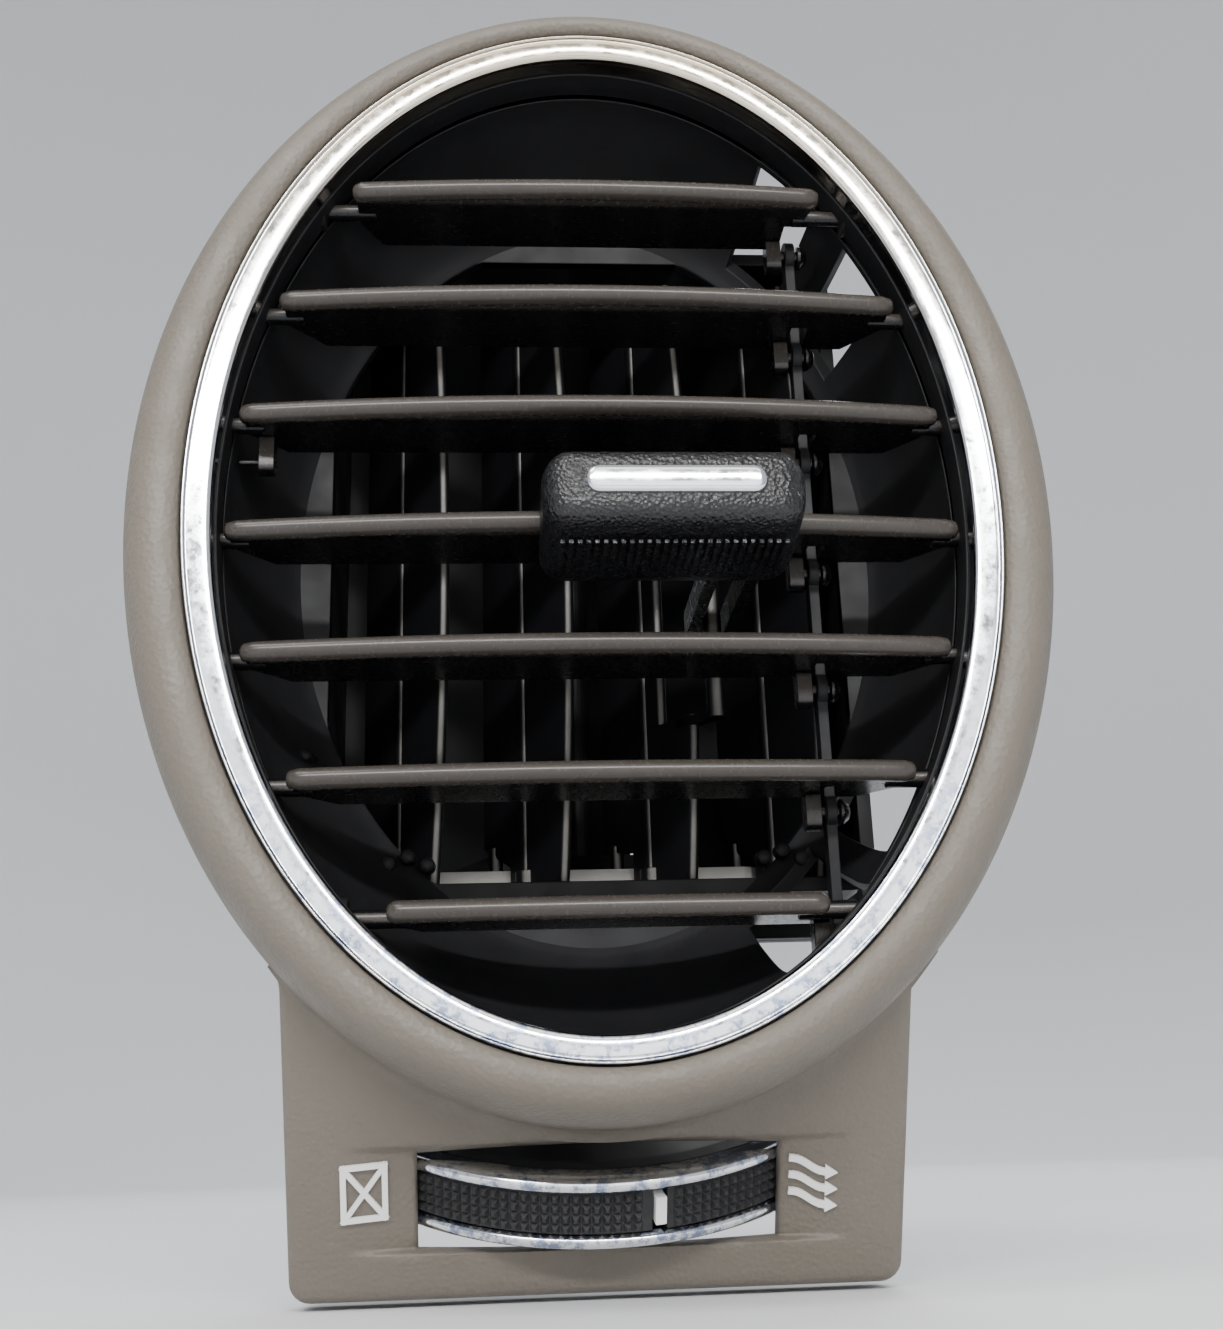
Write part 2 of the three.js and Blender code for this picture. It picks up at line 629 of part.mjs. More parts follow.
function vlinkBar() {
  const dx = -VLINK_R * Math.sin(VVANE_YAW);
  const y = VVANE_PIVOT_Y + VLINK_R * Math.cos(VVANE_YAW);
  const xs = vvaneXs();
  const z = [BOX_Z[0] + 2.2, BOX_Z[0] + 3.8];
  const outline = roundedRectangle([xs[0] + dx - 2.4, xs[xs.length - 1] + dx + 2.4], [y - 2.1, y + 2.1], 1.8);
  const body = outlineAlongZ(outline, z);
  const holes = xs.map((x) => bar([x + dx, y, z[0] - 1], [x + dx, y, z[1] + 1], 1.15, 14));
  return body.subtract(unite(holes));
}

// ---------- knob ----------
function knobBody() {
  const [y0, y1] = KNOB_Y;
  const [z0, z1] = KNOB_Z;
  const side = outlineAlongX([[y0 + 0.9, z0 + 1.2], [y0 + 2.6, z0], [y1, z0 - 0.6], [y1 + 2.2, z0 + 0.3],
    [y1 + 2.2, z0 + 1.8], [y1, z1], [y0 + 3.4, z1], [y0 + 1.2, z1 - 0.8], [y0 + 0.2, z1 - 2.4],
    [y0, z1 - 4.2], [y0 + 0.2, z0 + 2.6]], [KNOB_X - KNOB_HALF, KNOB_X + KNOB_HALF]);
  const ends = [KNOB_X - KNOB_HALF, KNOB_X + KNOB_HALF];
  const plan = outlineAlongZ(roundedRectangle(ends, [y0, y1 + 8], 3.4, 6), [z0 - 4, z1 + 4]);
  const front = outlineAlongY(roundedRectangle(ends, [z0 - 0.6, z1], 3.0, 6), [y0 - 4, y1 + 8]);
  const channel = block([KNOB_X - 40, KNOB_X + 40], [-0.85, 40], [HVANE_Z0 - 1.5, HVANE_Z0 + 1.5]);
  const pocket = insertPrism(0.12, 1.4);
  const prongs = [-1, 1].map((sideOf) => block(
    [FORK_X + (sideOf > 0 ? 1.55 : -2.95), FORK_X + (sideOf > 0 ? 2.95 : -1.55)], [0, 24.6], [-8.2, -4.9]));
  const body = side.intersect(plan).intersect(front).subtract(channel).subtract(pocket);
  return unite([body, ...prongs]);
}

function insertPrism(grow, depth) {
  const z = (KNOB_Z[0] + KNOB_Z[1]) / 2 + 0.9;
  const half = 9.3 + grow;
  const rise = 1.5 + grow;
  const outline = roundedRectangle([KNOB_X - half, KNOB_X + half], [z - rise, z + rise], rise - 0.05, 6);
  return outlineAlongY(outline, [KNOB_Y[0] - 0.35, KNOB_Y[0] + depth]);
}

// ---------- thumbwheel ----------
function frontHalf() {
  return wheelBlock([-40, 40], [-20, 20], WHEEL_SECTOR);
}

function wheelHub() {
  const web = wheelLathe([[2.35, -1.2], [30.3, -1.2], [30.3, 1.2], [2.35, 1.2]]);
  const flange = wheelLathe([[28.6, -4.0], [30.3, -4.0], [30.3, 4.0], [28.6, 4.0]]);
  const boss = wheelLathe([[2.35, -5.5], [5.6, -5.5], [5.6, 8.0], [2.35, 8.0]], 36);
  const tail = Math.sin(INDICATOR_TURN);
  const pinX = -CRANK_R * tail;
  const pinH = -CRANK_R * Math.cos(INDICATOR_TURN);
  const arm = crankArm(pinX, pinH);
  const pin = bar(inWheel(pinX, 5.6, pinH), inWheel(pinX, 11.6, pinH), 1.2, 16);
  const tip = bar(inWheel(pinX, 10.9, pinH), inWheel(pinX, 11.6, pinH), 1.6, 16);
  const bore = bar(inWheel(0, -9, 0), inWheel(0, 12, 0), 2.35, 36);
  return unite([unite([web, flange]).intersect(frontHalf()), boss, arm.subtract(bore), pin, tip]);
}

// Flat arm from the hub to the crank pin.
function crankArm(pinX, pinH) {
  const length = Math.hypot(pinX, pinH);
  const ux = pinX / length;
  const uh = pinH / length;
  const outline = [[-2.6 * uh, 2.6 * ux], [2.6 * uh, -2.6 * ux],
    [pinX + 2.2 * uh + 2 * ux, pinH - 2.2 * ux + 2 * uh],
    [pinX - 2.2 * uh + 2 * ux, pinH + 2.2 * ux + 2 * uh]];
  const basis = new THREE.Matrix4().makeBasis(
    new THREE.Vector3(1, 0, 0), new THREE.Vector3(0, 0, 1), new THREE.Vector3(0, -1, 0));
  basis.setPosition(0, 7.6, 0);
  return extrude(outline, 2.4, WHEEL_FRAME.clone().multiply(basis));
}

function wheelRim(side) {
  const [v0, v1] = side > 0 ? [2.45, 4.05] : [-4.05, -2.45];
  const profile = [[30.5, v0], [32.5, v0], [33.0, v0 + 0.4], [33.0, v1 - 0.6], [32.4, v1], [30.5, v1]];
  return wheelLathe(profile).intersect(frontHalf());
}

function indicatorBlock(grow) {
  const geometry = new THREE.BoxGeometry(1.3 + 2 * grow, 3.1 + 2 * grow, 1.9 + 2 * grow);
  geometry.translate(0, 0, WHEEL_R - 0.85);
  geometry.rotateY(INDICATOR_TURN);
  geometry.applyMatrix4(WHEEL_FRAME);
  return toManifold(geometry);
}

function wheelTread() {
  const teeth = 60;
  const points = [];
  const span = Math.PI + 0.06;
  for (let i = 0; i <= teeth; i += 1) {
    const t = -0.03 + span * i / teeth;
    points.push([(WHEEL_R - 0.1) * Math.cos(t), (WHEEL_R - 0.1) * Math.sin(t)]);
    if (i < teeth) {
      const m = t + span / teeth / 2;
      points.push([(WHEEL_R - 0.55) * Math.cos(m), (WHEEL_R - 0.55) * Math.sin(m)]);
    }
  }
  for (let i = teeth; i >= 0; i -= 1) {
    const t = -0.03 + span * i / teeth;
    points.push([30.5 * Math.cos(t), 30.5 * Math.sin(t)]);
  }
  const basis = new THREE.Matrix4().makeBasis(
    new THREE.Vector3(1, 0, 0), new THREE.Vector3(0, 0, 1), new THREE.Vector3(0, -1, 0));
  basis.setPosition(0, 2.3, 0);
  return extrude(points, 4.6, WHEEL_FRAME.clone().multiply(basis)).subtract(indicatorBlock(0.1));
}

function wheelAxle() {
  const shaft = bar(inWheel(0, -7.4, 0), inWheel(0, 17.5, 0), 2.0, 36);
  const head = bar(inWheel(0, -7.4, 0), inWheel(0, -5.8, 0), 3.6, 36);
  return shaft.add(head);
}

function wheelBracket() {
  const top = BOX_Z[0] - WALL - 1.5;
  const base = block([-14, 14], [24, 40.6], [top - 2, top]);
  const post = bar(inWheel(0, 12.2, 0), inWheel(0, 24, 0), 4.6, 36).intersect(
    block([-20, 20], [0, 80], [-90, top - 1]));
  const rib = outlineAlongX([[26, top - 1], [37, top - 1], [39.2, top - 7], [35, top - 7]], [-1.8, 0.2]);
  const bore = bar(inWheel(0, 0, 0), inWheel(0, 30, 0), 2.1, 36).intersect(
    block([-20, 20], [0, 80], [-90, top + 5]));
  const lipRoom = block([-20, 20], [40.7, 60], [top - 1.7, 0]);
  return unite([base, post, rib]).subtract(bore).subtract(lipRoom);
}

// ---------- duct, damper and linkage ----------
// Shoulder that narrows from the vane frame to the neck.
function rearDuct() {
  const y0 = BOX_Y[1] + 0.3;
  const neckX = [-NECK_X, NECK_X];
  const boxX = [-BOX_X, BOX_X];
  const wider = ([low, high]) => [low - WALL, high + WALL];
  const lip = roundedRectangle([-BOX_X - 4.5, BOX_X + 4.5], [BOX_Z[0] - 4.5, BOX_Z[1] + 4.5], 4);
  const outside = taper(wider(boxX), wider(BOX_Z), wider(neckX), wider(NECK_Z), y0, SHOULDER_END_Y);
  const inside = taper(boxX, BOX_Z, neckX, NECK_Z, y0 - 0.01, SHOULDER_END_Y - 0.5);
  const neckHole = outlineAlongY(roundedRectangle(neckX, NECK_Z, 2.4), [50.5, DUCT_REAR_Y]);
  return outside.add(outlineAlongY(lip, [y0, y0 + 2])).subtract(unite([inside, neckHole]));
}

// Straight rear neck that houses the damper, with a flange for the inlet seal.
function ductNeck() {
  const outer = roundedRectangle([-NECK_X - WALL, NECK_X + WALL], [NECK_Z[0] - WALL, NECK_Z[1] + WALL], 2);
  const flange = roundedRectangle([-NECK_X - 5, NECK_X + 5], [NECK_Z[0] - 5, NECK_Z[1] + 5], 5);
  const tube = outlineAlongY(outer, [SHOULDER_END_Y, DUCT_REAR_Y]);
  const rearFlange = outlineAlongY(flange, [DUCT_REAR_Y - 2, DUCT_REAR_Y]);
  const airway = outlineAlongY(roundedRectangle([-NECK_X, NECK_X], NECK_Z, 2.4), [50.5, DUCT_REAR_Y + 5]);
  const shaftHole = bar([0, DAMPER_Y, -60], [0, DAMPER_Y, 60], 2.3, 20);
  return tube.add(rearFlange).subtract(unite([airway, shaftHole]));
}

// A four-sided taper between two rectangles at two depths.
function taper(x0, z0, x1, z1, y0, y1) {
  const ends = [[x0, z0, y0], [x1, z1, y1]];
  const positions = [];
  for (const [x, z, y] of ends) {
    positions.push(x[0], y, z[0], x[1], y, z[0], x[1], y, z[1], x[0], y, z[1]);
  }
  const index = [0, 1, 2, 0, 2, 3, 4, 6, 5, 4, 7, 6];
  for (let k = 0; k < 4; k += 1) {
    const k2 = (k + 1) % 4;
    index.push(k, k2 + 4, k2, k, k + 4, k2 + 4);
  }
  const geometry = new THREE.BufferGeometry();
  geometry.setAttribute('position', new THREE.Float32BufferAttribute(positions, 3));
  geometry.setIndex(index);
  return toManifold(geometry);
}

function foamSeal() {
  const outer = roundedRectangle([-NECK_X - 4.6, NECK_X + 4.6], [NECK_Z[0] - 4.6, NECK_Z[1] + 4.6], 4.6);
  const inner = roundedRectangle([-NECK_X - 0.6, NECK_X + 0.6], [NECK_Z[0] - 0.6, NECK_Z[1] + 0.6], 2.4);
  return outlineAlongY(outer, [DUCT_REAR_Y + 0.1, DUCT_REAR_Y + 3.1]).subtract(
    outlineAlongY(inner, [DUCT_REAR_Y - 5, DUCT_REAR_Y + 10]));
}

function damperTurned(solid) {
  return solid.rotate([0, 0, THREE.MathUtils.radToDeg(DAMPER_TURN)]).translate([0, DAMPER_Y, 0]);
}

function damperFlap() {
  const outline = roundedRectangle([-NECK_X + 1.8, NECK_X - 1.8], [NECK_Z[0] + 1.6, NECK_Z[1] - 1.6], 2);
  const plate = outlineAlongY(outline, [-0.8, 0.8]);
  const shaft = bar([0, 0, NECK_Z[0] - 6.2], [0, 0, NECK_Z[1] + 3.2], 2.0, 24);
  const turned = damperTurned(plate.add(shaft));
  const pinX = -CRANK_R * Math.sin(INDICATOR_TURN);
  const pinY = DAMPER_Y + CRANK_R * Math.cos(INDICATOR_TURN);
  const z = NECK_Z[0] - 6.2;
  const armOutline = [[-2.4, DAMPER_Y - 2.2], [2.4, DAMPER_Y - 2.2], [pinX + 2.2, pinY + 2],
    [pinX - 2.2, pinY + 2]];
  const arm = outlineAlongZ(armOutline, [z, z + 2.2]);
  const pin = bar([pinX, pinY, z - 5.6], [pinX, pinY, z + 1], 1.2, 16);
  return unite([turned, arm, pin]);
}

function damperSeal() {
  const outer = roundedRectangle([-NECK_X + 0.5, NECK_X - 0.5], [NECK_Z[0] + 0.5, NECK_Z[1] - 0.5], 2.2);
  const inner = roundedRectangle([-NECK_X + 1.7, NECK_X - 1.7], [NECK_Z[0] + 1.5, NECK_Z[1] - 1.5], 2);
  const frame = outlineAlongY(outer, [-0.6, 0.6]).subtract(outlineAlongY(inner, [-2, 2]));
  const clearShaft = block([-2.3, 2.3], [-4, 4], [-60, 60]);
  return frame.subtract(clearShaft);
}

function damperSealHalf(side) {
  const halfSpace = side > 0 ? block([0, 30], [-5, 5], [-60, 60]) : block([-30, 0], [-5, 5], [-60, 60]);
  return damperTurned(damperSeal().intersect(halfSpace));
}

function linkRod() {
  const tail = Math.sin(INDICATOR_TURN);
  const lead = Math.cos(INDICATOR_TURN);
  const crank = inWheel(-CRANK_R * tail, 9.2, -CRANK_R * lead);
  const lever = [-CRANK_R * tail, DAMPER_Y + CRANK_R * lead, NECK_Z[0] - 9.4];
  const up = new THREE.Vector3(0, -Math.sin(PLATE_TILT), Math.cos(PLATE_TILT));
  const shift = (point, amount) => [point[0], point[1] + up.y * amount, point[2] + up.z * amount];
  const crankEye = bar(shift(crank, -0.9), shift(crank, 0.9), 3.0, 20);
  const leverEye = bar([lever[0], lever[1], lever[2] - 1.2], [lever[0], lever[1], lever[2] + 1.2], 3.2, 20);
  const body = bar(crank, lever, 1.1, 12);
  const crankBore = bar(shift(crank, -6), shift(crank, 6), 1.4, 16);
  const leverBore = bar([lever[0], lever[1], lever[2] - 9], [lever[0], lever[1], lever[2] + 9], 1.65, 16);
  return unite([crankEye, leverEye, body]).subtract(crankBore).subtract(leverBore);
}

// ---------- fasteners ----------
function screw([x, z]) {
  const shank = bar([x, 5.4, z], [x, 8.4, z], 1.0, 10);
  const head = bar([x, 7.3, z], [x, 8.9, z], 1.85, 14);
  const slot = block([x - 3, x + 3], [8.3, 10], [z - 0.3, z + 0.3]);
  return shank.add(head).subtract(slot);
}

// Folded spring clip that stands on the top of the vane frame.
function springClip(x) {
  const z = BOX_Z[1] + WALL + 0.2;
  const outline = [[27, z], [40, z], [40, z + 1.0], [37, z + 1.0], [33, z + 5.5], [31.6, z + 5.3],
    [29.4, z + 1.0], [27, z + 1.0]];
  return outlineAlongX(outline, [x - 4, x + 4]);
}

// ---------- assembly ----------
addPart('bezel_ring', bezelRing(), TAUPE);
addPart('bezel_plate', bezelPlate(), TAUPE);
addPart('trim_ring', trimRing(), CHROME);
addPart('symbol_closed', symbolClosed(), WHITE);
for (let k = 0; k < 3; k += 1) {
  addPart(`symbol_open_${k + 1}`, symbolOpen(k), WHITE);
}
addPart('shroud_collar', shroudCollar(), BLACK);
addPart('shroud_funnel', shroudFunnel(), BLACK);
addPart('mount_flange', mountFlange(), BLACK);
addPart('vane_frame', vaneFrame(), BLACK);
for (let k = 0; k < HVANE_COUNT; k += 1) {
  addPart(`hvane_${k + 1}`, hvane(3 - k), VANE);
}
addPart('hvane_link', hlinkBar(), BLACK);
for (let j = 0; j < VVANE_COUNT; j += 1) {
  addPart(`vvane_${j + 1}`, vvane(j), BLACK);
}
addPart('vvane_link', vlinkBar(), NYLON);
addPart('knob_body', knobBody(), KNOB);
addPart('knob_insert', insertPrism(0, 1.2), CHROME);
addPart('wheel_hub', wheelHub(), BLACK);
addPart('wheel_rim_upper', wheelRim(1), CHROME);
addPart('wheel_rim_lower', wheelRim(-1), CHROME);
addPart('wheel_tread', wheelTread(), RUBBER);
addPart('wheel_indicator', indicatorBlock(0), WHITE);
addPart('wheel_axle', wheelAxle(), STEEL);
addPart('wheel_bracket', wheelBracket(), BLACK);
addPart('link_rod', linkRod(), NYLON);
addPart('damper_flap', damperFlap(), BLACK);
addPart('damper_seal_left', damperSealHalf(-1), FOAM);
addPart('damper_seal_right', damperSealHalf(1), FOAM);
addPart('rear_duct', rearDuct(), BLACK);
addPart('duct_neck', ductNeck(), BLACK);
addPart('inlet_foam_seal', foamSeal(), FOAM);
SCREW_SPOTS.forEach((spot, k) => addPart(`screw_${k + 1}`, screw(spot), STEEL));
CLIP_X.forEach((x, k) => addPart(`spring_clip_${k + 1}`, springClip(x), STEEL));

export default group;
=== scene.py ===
"""Looks of the dashboard air outlet, built around its CAD frame. Sizes in the tables are millimetres."""

import math

import bpy
import numpy as np
from mathutils import Matrix, Vector
from mathutils.geometry import delaunay_2d_cdt


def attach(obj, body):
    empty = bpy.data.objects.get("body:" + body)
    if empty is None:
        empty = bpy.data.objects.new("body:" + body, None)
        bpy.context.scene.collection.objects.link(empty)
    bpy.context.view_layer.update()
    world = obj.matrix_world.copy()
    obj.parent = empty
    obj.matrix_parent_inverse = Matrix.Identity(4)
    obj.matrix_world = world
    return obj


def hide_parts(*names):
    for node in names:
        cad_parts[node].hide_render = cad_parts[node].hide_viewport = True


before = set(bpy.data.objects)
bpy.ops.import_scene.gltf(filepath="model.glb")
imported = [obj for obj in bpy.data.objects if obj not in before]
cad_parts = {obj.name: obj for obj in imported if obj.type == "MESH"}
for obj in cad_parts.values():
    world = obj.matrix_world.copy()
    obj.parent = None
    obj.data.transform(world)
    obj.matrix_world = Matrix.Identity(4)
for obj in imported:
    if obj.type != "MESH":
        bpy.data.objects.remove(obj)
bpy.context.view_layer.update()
MM = 0.001

# ---------- driving dimensions, the same as the CAD's ----------
OPENING = (41.6, 57.3)
TRIM_OUT = (44.9, 60.4)
BEZEL_OUT = (51.9, 64.4, 66.0)
BEZEL_REAR_Y = 17.0
PLATE_TILT = math.radians(27)
HINGE_Y, HINGE_Z = 5.6, -46.75
PLATE_X = (-33.9, 32.4)
PLATE_BOTTOM_Z = -82.7
PLATE_REAR_Y = 32.0
SLOT_X = (-20.2, 18.6)
SLOT_V = (-34.6, -23.2)
DISH_RADIUS, DISH_HALF = 150.0, 27.2
COLLAR = (41.4, 57.1)
WALL = 1.7
BOX_X = 31.0
BOX_Z = (-38.5, 42.5)
BOX_Y = (21.5, 43.0)
HVANE_Z = [39.3 - 14.0 * k for k in range(7)]
HVANE_PIVOT_Y, HVANE_REAR_Y = 6.0, 11.8
NOSING_R = 1.15
HLINK_X = 24.6
HPIN_Y, HPIN_DZ = 10.7, -2.6
VVANE_X = [-22.8, -7.6, 7.6, 22.8]
VVANE_PIVOT_Y = 32.0
VVANE_YAW = math.radians(34)
DRIVER_R = 13.0
KNOB_X, KNOB_HALF = 7.3, 13.8
KNOB_Y = (-11.0, 1.8)
KNOB_Z = (-8.4, 0.8)
FORK_X = 14.9
WHEEL_X, WHEEL_V, WHEEL_R, WHEEL_PROUD = -0.8, -29.4, 32.8, 3.7
INDICATOR_TURN = math.radians(11)
WHEEL_SECTOR = math.radians(91)
FUNNEL_END = (34.4, 45.8)
LEDGE_OUT = (36.6, 49.0)
LEDGE_Y = (21.5, 22.9)
# Directions, in degrees, where the funnel has a wall; the spaces between are the corner windows.
WALL_SECTORS = [(-31, 31), (40, 47), (58, 297), (313, 318)]
FLANGE_Y = (5.4, 7.2)
# Counted from 0: the horizontal vane with a lug at its left end, and the vertical vane that the fork drives.
LUG_VANE = 2
DRIVER_VANE = 2


# ---------- mesh building ----------
class Shape:
    """Collects closed solids, in millimetres, and makes one mesh object of them."""

    def __init__(self):
        self.verts = []
        self.faces = []

    def add(self, verts, faces):
        base = len(self.verts)
        self.verts += [tuple(float(c) for c in v) for v in verts]
        self.faces += [tuple(base + i for i in face) for face in faces]

    def loft(self, sections, closed=False, caps=True):
        """Joins equal-length loops of points. closed joins the last loop to the first."""
        count = len(sections[0])
        verts = [p for section in sections for p in section]
        faces = []
        spans = len(sections) if closed else len(sections) - 1
        for i in range(spans):
            a, b = i * count, ((i + 1) % len(sections)) * count
            for k in range(count):
                k2 = (k + 1) % count
                faces.append((a + k, a + k2, b + k2, b + k))
        if caps and not closed:
            faces.append(tuple(range(count)))
            faces.append(tuple(reversed(range((len(sections) - 1) * count, len(sections) * count))))
        self.add(verts, faces)

    def bar(self, start, end, radius, end_radius=None, steps=24):
        start, end = Vector(start), Vector(end)
        along = (end - start).normalized()
        side = along.orthogonal().normalized()
        other = along.cross(side)
        loops = []
        for place, r in ((start, radius), (end, radius if end_radius is None else end_radius)):
            turns = [2 * math.pi * k / steps for k in range(steps)]
            loops.append([place + side * (r * math.cos(t)) + other * (r * math.sin(t)) for t in turns])
        self.loft(loops)

    def turned(self, start, along, profile, steps=32):
        """A solid of revolution: profile is (distance along, radius) pairs from `start`."""
        along = Vector(along).normalized()
        side = along.orthogonal().normalized()
        other = along.cross(side)
        loops = []
        for distance, r in profile:
            place = Vector(start) + along * distance
            turns = [2 * math.pi * k / steps for k in range(steps)]
            loops.append([place + side * (r * math.cos(t)) + other * (r * math.sin(t)) for t in turns])
        self.loft(loops)

    def prism(self, outline, low, high, axis):
        """An outline extruded along an axis. The outline's pairs are the other two axes in X, Y, Z order."""
        def place(pair, depth):
            first, second = pair
            places = {"x": (depth, first, second), "y": (first, depth, second), "z": (first, second, depth)}
            return places[axis]
        self.loft([[place(p, low) for p in outline], [place(p, high) for p in outline]])

    def block(self, x, y, z):
        self.prism([(x[0], y[0]), (x[1], y[0]), (x[1], y[1]), (x[0], y[1])], z[0], z[1], "z")

    def turn_and_move(self, angle, offset):
        turn = Matrix.Rotation(angle, 3, "Z")
        self.verts = [tuple(turn @ Vector(v) + Vector(offset)) for v in self.verts]

    def make(self, name, material, body, stands_for=(), bevel=0.0, sharp=38):
        mesh = bpy.data.meshes.new(name)
        mesh.from_pydata([tuple(c * MM for c in v) for v in self.verts], [], self.faces)
        mesh.validate()
        face_outwards(mesh)
        mesh.shade_smooth()
        mesh.set_sharp_from_angle(angle=math.radians(sharp))
        obj = bpy.data.objects.new(name, mesh)
        bpy.context.scene.collection.objects.link(obj)
        mesh.materials.append(material)
        if bevel:
            add_bevel(obj, bevel)
        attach(obj, body)
        if stands_for:
            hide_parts(*stands_for)
        return obj


def face_outwards(mesh):
    import bmesh
    work = bmesh.new()
    work.from_mesh(mesh)
    bmesh.ops.recalc_face_normals(work, faces=work.faces)
    work.to_mesh(mesh)
    work.free()


def add_bevel(obj, width):
    bevel = obj.modifiers.new("edge", "BEVEL")
    bevel.width = width * MM
    bevel.segments = 2
    bevel.limit_method = "ANGLE"
    bevel.angle_limit = math.radians(38)
    bevel.harden_normals = True


def rounded_rectangle(x, z, radius, steps=8):
    points = []
    corners = [(x[1], z[1], -1, -1, 0), (x[0], z[1], 1, -1, 1), (x[0], z[0], 1, 1, 2), (x[1], z[0], -1, 1, 3)]
    for cx, cz, sx, sz, quarter in corners:
        for i in range(steps + 1):
            t = (quarter + i / steps) * math.pi / 2
            points.append((cx + sx * radius + radius * math.cos(t), cz + sz * radius + radius * math.sin(t)))
    return points


def smooth_path(points, per_span=5):
    """A Catmull-Rom curve through the points."""
    pts = [np.array(p, float) for p in points]
    pts = [2 * pts[0] - pts[1]] + pts + [2 * pts[-1] - pts[-2]]
    out = []
    for i in range(1, len(pts) - 2):
        p0, p1, p2, p3 = pts[i - 1:i + 3]
        for k in range(per_span):
            t = k / per_span
            out.append(0.5 * (2 * p1 + (p2 - p0) * t + (2 * p0 - 5 * p1 + 4 * p2 - p3) * t * t
                              + (3 * p1 - p0 - 3 * p2 + p3) * t ** 3))
    out.append(pts[-2])
    return [tuple(p) for p in out]


def oval_ring(shape, profile, steps=240, start=0.0, end=360.0):
    """A tube round the oval. Each profile row is (half width, top, bottom, depth)."""
    whole = abs(end - start - 360.0) < 1e-6
    loops = []
    for i in range(steps if whole else steps + 1):
        t = math.radians(start + (end - start) * i / steps)
        c, s = math.cos(t), math.sin(t)
        loops.append([(a * c, y, (top if s >= 0 else bottom) * s) for a, top, bottom, y in profile])
    shape.loft(loops, closed=whole)


def half_width(z, a, b):
    return a * math.sqrt(max(0.0, 1 - (z / b) ** 2))


# ---------- frames ----------
SIN, COS = math.sin(PLATE_TILT), math.cos(PLATE_TILT)


def on_plate(x, v, h):
    """x across, v up the plate, h out of its front face."""
    return (x, HINGE_Y - v * SIN - h * COS, HINGE_Z + v * COS - h * SIN)


def in_wheel(x, v, h):
    return on_plate(WHEEL_X + x, WHEEL_V + v, h - (WHEEL_R - WHEEL_PROUD))


def on_wheel(radius, v, turn):
    """A point at a radius from the axle; turn 0 faces out of the slot, positive turns to the right."""
    return in_wheel(radius * math.sin(turn), v, radius * math.cos(turn))


# ---------- materials ----------
class Finish:
    """A procedural material with helpers that wire textures to one principled shader."""

    def __init__(self, name, color, roughness, metallic=0.0, coat=0.0):
        self.material = bpy.data.materials.new(name)
        self.material.use_nodes = True
        self.nodes = self.material.node_tree.nodes
        self.links = self.material.node_tree.links
        self.shader = self.nodes["Principled BSDF"]
        self.shader.inputs["Base Color"].default_value = (*color, 1)
        self.shader.inputs["Roughness"].default_value = roughness
        self.shader.inputs["Metallic"].default_value = metallic
        self.shader.inputs["Coat Weight"].default_value = coat
        self.shader.inputs["Coat Roughness"].default_value = 0.15
        self.place = self.nodes.new("ShaderNodeTexCoord").outputs["Object"]
        self.normal = None

    def noise(self, per_mm, detail=3.0, rough=0.5, stretch=(1, 1, 1)):
        mapping = self.nodes.new("ShaderNodeMapping")
        mapping.inputs["Scale"].default_value = tuple(per_mm / MM * s for s in stretch)
        texture = self.nodes.new("ShaderNodeTexNoise")
        texture.inputs["Scale"].default_value = 1.0
        texture.inputs["Detail"].default_value = detail
        texture.inputs["Roughness"].default_value = rough
        self.links.new(self.place, mapping.inputs["Vector"])
        self.links.new(mapping.outputs["Vector"], texture.inputs["Vector"])
        return texture.outputs["Fac"]

    def cells(self, per_mm, feature="F1"):
        mapping = self.nodes.new("ShaderNodeMapping")
        mapping.inputs["Scale"].default_value = (per_mm / MM,) * 3
        texture = self.nodes.new("ShaderNodeTexVoronoi")
        texture.feature = feature
        texture.inputs["Scale"].default_value = 1.0
        self.links.new(self.place, mapping.inputs["Vector"])
        self.links.new(mapping.outputs["Vector"], texture.inputs["Vector"])
        return texture.outputs["Distance"]

    def remap(self, value, low, high, to_low, to_high):
        node = self.nodes.new("ShaderNodeMapRange")
        node.inputs["From Min"].default_value = low
        node.inputs["From Max"].default_value = high
        node.inputs["To Min"].default_value = to_low
        node.inputs["To Max"].default_value = to_high
        self.links.new(value, node.inputs["Value"])
        return node.outputs["Result"]

    def bump(self, value, strength, depth_mm):
        node = self.nodes.new("ShaderNodeBump")
        node.inputs["Strength"].default_value = strength
        node.inputs["Distance"].default_value = depth_mm * MM
        self.links.new(value, node.inputs["Height"])
        if self.normal:
            self.links.new(self.normal, node.inputs["Normal"])
        self.normal = node.outputs["Normal"]
        self.links.new(self.normal, self.shader.inputs["Normal"])

    def color_mix(self, factor, first, second):
        node = self.nodes.new("ShaderNodeMix")
        node.data_type = "RGBA"
        self.links.new(factor, node.inputs["Factor"])
        for socket, value in ((node.inputs["A"], first), (node.inputs["B"], second)):
            if isinstance(value, tuple):
                socket.default_value = (*value, 1)
            else:
                self.links.new(value, socket)
        return node.outputs["Result"]

    def color(self, value):
        self.links.new(value, self.shader.inputs["Base Color"])

    def roughness(self, value):
        self.links.new(value, self.shader.inputs["Roughness"])

    def along(self, axis):
        split = self.nodes.new("ShaderNodeSeparateXYZ")
        self.links.new(self.place, split.inputs["Vector"])
        return split.outputs[axis]


